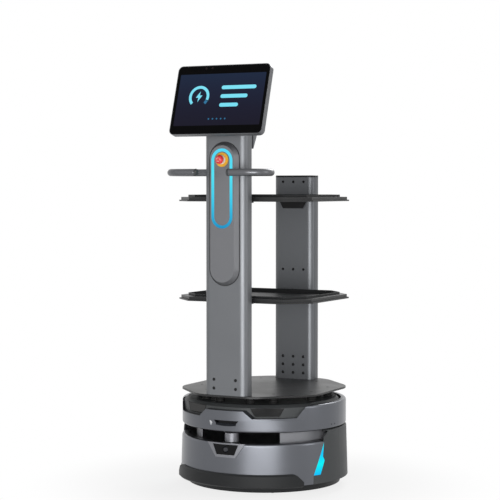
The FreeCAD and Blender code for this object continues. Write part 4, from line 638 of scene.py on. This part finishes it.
def add_piece(name, mesh, material, body="chassis"):
    """Make a mesh a piece with the given finish, which rides on a body if one is given."""
    data = bpy.data.meshes.new(name)
    mesh.normal_update()
    mesh.to_mesh(data)
    mesh.free()
    for face in data.polygons:
        face.use_smooth = True
    data.set_sharp_from_angle(angle=SMOOTH_ANGLE)
    data.materials.append(material)
    piece = bpy.data.objects.new(name, data)
    scene.collection.objects.link(piece)
    if body:
        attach(piece, body)
    print(name, "faces:", len(data.polygons), "on", body or "two bodies")
    return piece


print("turned pieces have", AROUND, "sides")

# %% [markdown]
# ## Screws
#
# Both columns are screwed to their feet by rows of black button-head screws with a six-sided socket. The
# rows higher up the rear column stay open, because further shelves are screwed on there. A socket could be
# cut out of a dome, but here the inner rings of the stack are six-sided, so one skin makes the head, the
# socket's walls and its floor.

# %% Column screws
SCREW_HEAD = (
    (4.8, 0), (4.8, 0.5), (4.3, 1.6), (3.3, 2.4), (2.3, 2.7), (1.8, 2.7, True), (1.7, 1.1, True),
)
SCREW_COLUMNS = (-37.5 * MM, 0, 37.5 * MM)
SCREW_ROWS = (334 * MM, 361 * MM, 388 * MM)
FORWARD = (0, -1, 0)
front_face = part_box("front_column")[0].y
rear_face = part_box("rear_column")[0].y
screws = bmesh.new()
for x in SCREW_COLUMNS[::2]:
    for z in SCREW_ROWS[:2]:
        skin_rings(screws, SCREW_HEAD, stand_on((x, front_face, z), FORWARD))
for x in SCREW_COLUMNS:
    for z in SCREW_ROWS:
        skin_rings(screws, SCREW_HEAD, stand_on((x, rear_face, z), FORWARD))
add_piece("column_screws", screws, FINISH["black_oxide_steel"])

# %% [markdown]
# The open rows hold threaded inserts: a thin flange on the face and a blind bore behind it. The bore could
# be painted on as a dark dot, but as a turned piece it is dark from any side.

# %% Shelf inserts
INSERT = ((3.2, -8), (3.2, -0.1), (4.3, 0), (4.3, 0.5), (3.9, 0.8), (2.9, 0.8), (2.7, 0.4), (2.6, -6.5))
INSERT_ROWS = (678 * MM, 968 * MM)
inserts = bmesh.new()
for x in SCREW_COLUMNS:
    for z in INSERT_ROWS:
        skin_rings(inserts, INSERT, stand_on((x, rear_face, z), FORWARD))
add_piece("shelf_inserts", inserts, FINISH["black_oxide_steel"])

# %% [markdown]
# ## Screen
#
# Behind the cover glass lies a 13.3-inch panel with a navy page that is a little lighter at its top. It
# could lie behind clear glass, but a thin lit plate on the face looks the same and stays crisp.

# %% Lit panel
DISPLAY_LEAN = math.radians(17.3)
PANEL_WIDTH = 294.5
PANEL_HEIGHT = 165.7
PANEL_CORNER = 2
PANEL_THICK = 0.1
CORNER_STEPS = 6
display_normal = Vector((0, -math.cos(DISPLAY_LEAN), math.sin(DISPLAY_LEAN)))
display_up = (0, math.sin(DISPLAY_LEAN), math.cos(DISPLAY_LEAN))
glass_low, glass_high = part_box("display_glass")
glass_middle = (glass_low + glass_high) / 2


def display_levels(node):
    """How far each point of a node lies along the way the display faces."""
    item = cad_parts[node]
    return [(item.matrix_world @ vertex.co).dot(display_normal) for vertex in item.data.vertices]


glass_level = max(display_levels("display_glass"))
display_face = glass_middle + display_normal * (glass_level - glass_middle.dot(display_normal))


def on_display(x, y, lift=0):
    """Local frame on the display's face, at a place in millimetres from its middle."""
    face = stand_on(display_face, display_normal, display_up)
    return face @ Matrix.Translation(Vector((x, y, lift)) * MM)


def rounded_outline(width, height, corner, steps=CORNER_STEPS):
    """Rectangle with rounded corners about the origin, anticlockwise."""
    points = []
    for quarter, (across, up) in enumerate(((1, 1), (-1, 1), (-1, -1), (1, -1))):
        for step in range(steps + 1):
            angle = math.pi / 2 * (quarter + step / steps)
            points.append((across * (width / 2 - corner) + corner * math.cos(angle),
                           up * (height / 2 - corner) + corner * math.sin(angle)))
    return points


panel_ends = [on_display(0, end * PANEL_HEIGHT / 2).translation.z for end in (-1, 1)]
panel_glow = glowing("lit_navy_panel", panel_ends, ("#1C1A29", "#1D1D2F", "#1E2338", "#1F2A41"))
panel = bmesh.new()
thicken(panel, rounded_outline(PANEL_WIDTH, PANEL_HEIGHT, PANEL_CORNER), PANEL_THICK, on_display(0, 0))
add_piece("display_panel", panel, panel_glow)

# %% [markdown]
# The screen shows a plain status page: a charge gauge with a bolt in it, three bars for the trips that are
# waiting, and a row of dots for the pages. The marks could be painted by a texture, but plates that are a
# tenth of a millimetre thick keep their edges sharp from any distance.

# %% Bright marks on the screen
GAUGE_PLACE = (-72, 10)
GAUGE_OUTER = 35
GAUGE_INNER = 26
GAUGE_FULL = (-20, 225)
GAUGE_EMPTY = (-45, -24)
ARC_STEPS = 40
BOLT = ((3, 17), (-11, -3), (-2, -3), (-4, -17), (11, 4), (2, 4))
# height and width of each bar
BARS = ((38, 118), (10, 92), (-18, 64))
BAR_LEFT = 2
BAR_HEIGHT = 12


def arc_outline(outer, inner, start, end):
    """Part of a ring between two angles in degrees, anticlockwise."""
    angles = [math.radians(start + (end - start) * step / ARC_STEPS) for step in range(ARC_STEPS + 1)]
    outside = [(outer * math.cos(a), outer * math.sin(a)) for a in angles]
    inside = [(inner * math.cos(a), inner * math.sin(a)) for a in reversed(angles)]
    return outside + inside


bright = glowing("lit_cyan_marks", panel_ends, ("#74E0F8", "#86EAFD"))
gauge_foot = on_display(*GAUGE_PLACE, PANEL_THICK)
marks = bmesh.new()
thicken(marks, arc_outline(GAUGE_OUTER, GAUGE_INNER, *GAUGE_FULL), PANEL_THICK, gauge_foot)
thicken(marks, BOLT, PANEL_THICK, gauge_foot)
for level, width in BARS:
    bar = rounded_outline(width, BAR_HEIGHT, BAR_HEIGHT / 2)
    thicken(marks, bar, PANEL_THICK, on_display(BAR_LEFT + width / 2, level, PANEL_THICK))
add_piece("display_marks", marks, bright)

# %% [markdown]
# The empty end of the gauge and the dots are dimmer than the rest. They could share the bright marks' mesh
# with a second material, but as a piece of their own they keep one finish each.

# %% Quiet marks on the screen
DOT_PLACES = (-28, -14, 0, 14, 28)
DOT_LEVEL = -62
DOT = ((2.6, 0), (2.6, PANEL_THICK))
dim = glowing("lit_blue_marks", panel_ends, ("#2F6E96", "#3A80AC"))
quiet = bmesh.new()
thicken(quiet, arc_outline(GAUGE_OUTER, GAUGE_INNER, *GAUGE_EMPTY), PANEL_THICK, gauge_foot)
for x in DOT_PLACES:
    skin_rings(quiet, DOT, on_display(x, DOT_LEVEL, PANEL_THICK))
add_piece("display_quiet_marks", quiet, dim)

# %% [markdown]
# ## Cameras above the screen
#
# Two small lenses look out of the black border above the screen. They could be two dark dots, but each is a
# turned piece, so that it catches a glint: a raised ring, a step down to the glass and a low dome.

# %% Display cameras
LENS_RINGS = ((3.4, 0), (3.4, 0.3), (2.9, 0.4), (2.6, 0.15), (1.8, 0.3), (0.7, 0.4))
LENS_PLACES = (-61, -38.8)
LENS_LEVEL = 101.6
lenses = bmesh.new()
for x in LENS_PLACES:
    skin_rings(lenses, LENS_RINGS, on_display(x, LENS_LEVEL))
add_piece("display_cameras", lenses, GLOSS["tinted_lens_glass"])

# %% [markdown]
# ## Back of the display
#
# The back carries what a display needs behind it: two groups of cooling slots beside the neck, closed by
# black mesh, and four screws that hold the frame together. The slots could be cut, but thin black plates do,
# because their depth is never seen.

# %% Vents and screws behind the display
VENT_SLOTS = 9
VENT_PITCH = 7
VENT_OUTLINE = rounded_outline(3, 30, 1.4)
VENT_THICK = 0.15
VENT_MIDDLE = 113
VENT_LEVEL = 46
BACK_SCREW_ACROSS = 139
BACK_SCREW_UP = 88
FLUSH_SCREW = ((5, -0.3), (5, 0.1), (4.6, 0.25), (2.2, 0.25), (1.9, 0.25, True), (1.8, -0.2, True))
casing_level = min(display_levels("display_shell"))
back_middle = display_face + display_normal * (casing_level - glass_level)


def behind_display(x, y):
    """Local frame on the display's back, at a place in millimetres from its middle."""
    back = stand_on(back_middle, -display_normal, display_up)
    return back @ Matrix.Translation(Vector((x, y, 0)) * MM)


vents = bmesh.new()
back_screws = bmesh.new()
for side in (-1, 1):
    for number in range(VENT_SLOTS):
        across = side * VENT_MIDDLE + (number - (VENT_SLOTS - 1) / 2) * VENT_PITCH
        thicken(vents, VENT_OUTLINE, VENT_THICK, behind_display(across, VENT_LEVEL))
    for end in (-1, 1):
        skin_rings(back_screws, FLUSH_SCREW, behind_display(side * BACK_SCREW_ACROSS, end * BACK_SCREW_UP))
add_piece("display_vents", vents, FINISH["black_rubber"])
add_piece("display_back_screws", back_screws, FINISH["black_oxide_steel"])

# %% [markdown]
# ## Seal and painted shade round the pod
#
# A black seal closes the joint between the pod and the column. It is drawn wider than the joint needs, so
# that it also stands for the shade along the pod's edge: partly a real seal, partly painted shade. A dark
# line could be painted on the column, but a flat ring that follows the pod's foot also casts its own small
# shadow.

# %% Pod seal with painted shade
# Part of this width is painted shade along the pod's edge.
SEAL_AND_SHADE_WIDTH = 2
SEAL_GAP = 0.1
SEAL_THICK = 0.9
SEAL_SUNK = 0.3
SEAL_STEPS = 24
# A short straight run at each end keeps the points of two corners apart.
SEAL_FLAT = 0.05
pod_low, pod_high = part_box("pod")
pod_width = (pod_high.x - pod_low.x) / MM
pod_height = (pod_high.z - pod_low.z) / MM


def pod_outline(grow):
    """The pod's foot, a rectangle with round ends, grown by some millimetres."""
    corner = pod_width / 2 + grow - SEAL_FLAT
    return rounded_outline(pod_width + 2 * grow, pod_height + 2 * grow, corner, SEAL_STEPS)


seal_and_shade = bmesh.new()
seal_foot = stand_on((0, front_face + SEAL_SUNK * MM, (pod_low.z + pod_high.z) / 2), FORWARD)
thicken_ring(seal_and_shade, pod_outline(SEAL_AND_SHADE_WIDTH), pod_outline(SEAL_GAP), SEAL_THICK, seal_foot)
add_piece("pod_seal_and_shade", seal_and_shade, FINISH["black_rubber"])

# %% [markdown]
# ## Arrows on the stop
#
# A pressed stop is let go by a twist, and three pale arrows on its head show the way. They are thin plates
# like the marks on the screen, and they ride on the head, so that they turn with it.

# %% Stop arrows
ARROWS = 3
ARROW_OUTER = 6.0
ARROW_INNER = 4.8
ARROW_SWEEP = 62
ARROW_TIP = ((6.6, 0), (4.2, 0), (5.3, -2.8))
ARROW_THICK = 0.15
stop_low, stop_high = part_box("stop_head")
stop_middle = (stop_low + stop_high) / 2
crown = stand_on((stop_middle.x, stop_low.y, stop_middle.z), FORWARD)
arrows = bmesh.new()
for number in range(ARROWS):
    turn = crown @ Matrix.Rotation(2 * math.pi * number / ARROWS, 4, "Z")
    thicken(arrows, arc_outline(ARROW_OUTER, ARROW_INNER, 0, ARROW_SWEEP), ARROW_THICK, turn)
    thicken(arrows, ARROW_TIP, ARROW_THICK, turn)
add_piece("stop_arrows", arrows, FINISH["ivory_nylon"], "stop_button")

# %% [markdown]
# ## Bolts of the drive wheels
#
# Each drive wheel's cover is held on its hub by five bolts in the hub's dish. They have the heads of the
# column screws and ride on the wheels.

# %% Hub bolts
HUB_BOLTS = 5
HUB_DISH = 5 * MM
BOLT_CIRCLE = 31 * MM
for side, name in ((-1, "left"), (1, "right")):
    hub_low, hub_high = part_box(f"wheel_hub_{name}")
    hub_middle = (hub_low + hub_high) / 2
    dish = (hub_low.x + HUB_DISH) if side < 0 else (hub_high.x - HUB_DISH)
    bolts = bmesh.new()
    for number in range(HUB_BOLTS):
        angle = 2 * math.pi * number / HUB_BOLTS
        y = hub_middle.y + BOLT_CIRCLE * math.cos(angle)
        z = hub_middle.z + BOLT_CIRCLE * math.sin(angle)
        skin_rings(bolts, SCREW_HEAD, stand_on((dish, y, z), (side, 0, 0)))
    add_piece(f"hub_bolts_{name}", bolts, FINISH["black_oxide_steel"], f"drive_wheel_{name}")

# %% [markdown]
# ## Springs of the drive wheels
#
# A spring shortens when its wheel is pushed up, which a rigid CAD solid can't show. So each spring is drawn
# again as a swept wire with closed end turns, and the CAD solid is hidden.

# %% Wire of a coil spring
WIRE = 1.6 * MM
WIRE_SIDES = 12
COIL_RADIUS = 10 * MM
COIL_TURNS = 6
CLOSED_TURNS = 0.8
# Closed turns lie a little more than the wire's width apart.
CLOSED_PITCH = 2.1 * WIRE
STEPS_PER_TURN = 28


def coil_level(turn, length):
    """Height of the wire's middle after some turns: end turns lie close, others are evenly apart."""
    closed_rise = CLOSED_TURNS * CLOSED_PITCH
    if turn < CLOSED_TURNS:
        return closed_rise * turn / CLOSED_TURNS
    if turn > COIL_TURNS - CLOSED_TURNS:
        return length - closed_rise * (COIL_TURNS - turn) / CLOSED_TURNS
    open_share = (turn - CLOSED_TURNS) / (COIL_TURNS - 2 * CLOSED_TURNS)
    return closed_rise + (length - 2 * closed_rise) * open_share


def wire_loop(mesh, foot, turn, length):
    """Points round the wire after some turns of a coil that stands on a foot."""
    angle = 2 * math.pi * turn
    out = Vector((math.cos(angle), math.sin(angle), 0))
    rise = Vector((0, 0, WIRE + coil_level(turn, length)))
    loop = []
    for side in range(WIRE_SIDES):
        around = 2 * math.pi * side / WIRE_SIDES
        edge = out * math.cos(around) + Vector((0, 0, math.sin(around)))
        loop.append(mesh.verts.new(foot + rise + out * COIL_RADIUS + edge * WIRE))
    return loop


print("coil of", COIL_TURNS, "turns in", COIL_TURNS * STEPS_PER_TURN, "steps")

# %% [markdown]
# Each spring is swept between the ends of the CAD solid that it stands for, and its end turns are closed by
# a face where the wire was cut.

# %% Coil springs
for name in ("left", "right"):
    spring_low, spring_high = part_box(f"arm_spring_{name}")
    middle = (spring_low + spring_high) / 2
    length = spring_high.z - spring_low.z - 2 * WIRE
    foot = Vector((middle.x, middle.y, spring_low.z))
    coil = bmesh.new()
    steps = range(COIL_TURNS * STEPS_PER_TURN + 1)
    loops = [wire_loop(coil, foot, step / STEPS_PER_TURN, length) for step in steps]
    for first, second in zip(loops, loops[1:]):
        bridge(coil, second, first)
    coil.faces.new(loops[0])
    coil.faces.new(reversed(loops[-1]))
    spring = add_piece(f"coil_spring_{name}", coil, FINISH["zinc_plated_steel"], None)
    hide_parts(f"arm_spring_{name}")
    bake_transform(spring)

# %% [markdown]
# ## Screws of the trays
#
# The trays are screwed down to their carriers near the corners of their floors. The heads lie almost flush,
# so that nothing catches on what the robot carries.

# %% Tray screws
TRAY_FLOOR = 2.5 * MM
TRAY_SCREW_INSET = Vector((62, 40)) * MM
tray_screws = bmesh.new()
for name in ("lower_shelf_tray", "upper_shelf_tray"):
    tray_low, tray_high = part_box(name)
    for x in (tray_low.x + TRAY_SCREW_INSET.x, tray_high.x - TRAY_SCREW_INSET.x):
        for y in (tray_low.y + TRAY_SCREW_INSET.y, tray_high.y - TRAY_SCREW_INSET.y):
            skin_rings(tray_screws, FLUSH_SCREW, Matrix.Translation((x, y, tray_low.z + TRAY_FLOOR)))
add_piece("tray_screws", tray_screws, FINISH["zinc_plated_steel"])

# %% [markdown]
# ## Buffers and screws of the deck
#
# The deck rests on short posts, and each carries a ribbed rubber sleeve that takes up shocks. The ribs could
# be a bump in the material, but a stack of rings that swells at every rib also shows in the outline. A
# countersunk screw holds the deck to each post.

# %% Deck buffers and screws
POST_CIRCLE = 204.7 * MM
POST_TURNS = (15, 35, 73, 109, 150)
RIBS = 4
RIB_RADIUS = 14.5
GROOVE_RADIUS = 12
# radius, and share of the rib's height
RIB_PROFILE = ((GROOVE_RADIUS, 0), (RIB_RADIUS, 0.3), (RIB_RADIUS, 0.7), (GROOVE_RADIUS, 0.98))
post_bottom, post_top = (corner.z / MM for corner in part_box("deck_spacers"))
rib_height = (post_top - post_bottom) / RIBS
sleeve = [(radius, post_bottom + (rib + share) * rib_height)
          for rib in range(RIBS) for radius, share in RIB_PROFILE]
deck_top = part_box("deck_plate")[1].z
buffers = bmesh.new()
deck_screws = bmesh.new()
for turn in POST_TURNS:
    for side in (-1, 1):
        angle = math.radians(turn) * side
        x = POST_CIRCLE * math.sin(angle)
        y = AXIS_Y - POST_CIRCLE * math.cos(angle)
        skin_rings(buffers, sleeve, Matrix.Translation((x, y, 0)))
        skin_rings(deck_screws, FLUSH_SCREW, Matrix.Translation((x, y, deck_top)))
add_piece("deck_buffers", buffers, FINISH["black_rubber"])
add_piece("deck_screws", deck_screws, FINISH["black_oxide_steel"])

# %% [markdown]
# ## Handle ends
#
# The two free ends of the bent tube are closed by dark caps, so that no cut edge is left where people grip
# it. A cap is a turned piece whose edge is rounded by a few rings.

# %% Handle caps
CAP_START = 58 * MM
CAP_RADIUS = 11.3
CAP = ((11.2, 0), (CAP_RADIUS, 0.4), (CAP_RADIUS, 4.6), (10.6, 5.8), (8.8, 6.4), (5, 6.8))
handle_low, handle_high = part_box("handle")
handle_middle = (handle_low + handle_high) / 2
caps = bmesh.new()
for side in (-1, 1):
    start = (side * CAP_START, handle_low.y + CAP_RADIUS * MM, handle_middle.z)
    skin_rings(caps, CAP, stand_on(start, (-side, 0, 0)))
add_piece("handle_caps", caps, FINISH["grained_dark_abs"])

# %% [markdown]
# ## Small pieces on the base
#
# A glowing plate at the left end of the sensor slot is a painted glint, the light that the slot's end
# catches;
# it is no lamp. Two microphone ports open low on the right of the upper shell. Both stand on the shell's
# round wall, so one function gives the frame there.

# %% Painted glint and ports
SHELL_RADIUS = 262 * MM
GLINT_TURN = -11.8
GLINT_LEVEL = 226 * MM
GLINT_ENDS = (217 * MM, 233 * MM)
GLINT_OUTLINE = ((-5.5, 4.5), (-1.5, -8), (0.5, -8.5), (5, -1), (3.5, 3), (-4, 6))
GLINT_THICK = 0.6
PORT = ((2.4, -0.5), (2.4, 0.1), (2.1, 0.3), (1.5, 0.3), (1.3, 0.1), (1.2, -0.3))
PORT_TURNS = (80, 84)
PORT_LEVEL = 213 * MM


def on_shell(turn, height):
    """Local frame on the upper shell's wall, at an angle from the front in degrees."""
    angle = math.radians(turn)
    out = Vector((math.sin(angle), -math.cos(angle), 0))
    return stand_on(Vector((0, AXIS_Y, height)) + out * SHELL_RADIUS, out)


# A painted highlight: a glowing plate, grey below and near white above, where light catches the slot's end.
painted_glint_glow = glowing("painted_glint_plate", GLINT_ENDS, ("#AEB0B3", "#D2D4D6"))
glint_plate = bmesh.new()
thicken(glint_plate, GLINT_OUTLINE, GLINT_THICK, on_shell(GLINT_TURN, GLINT_LEVEL))
add_piece("slot_painted_glint", glint_plate, painted_glint_glow)

ports = bmesh.new()
for turn in PORT_TURNS:
    skin_rings(ports, PORT, on_shell(turn, PORT_LEVEL))
add_piece("shell_ports", ports, FINISH["black_rubber"])
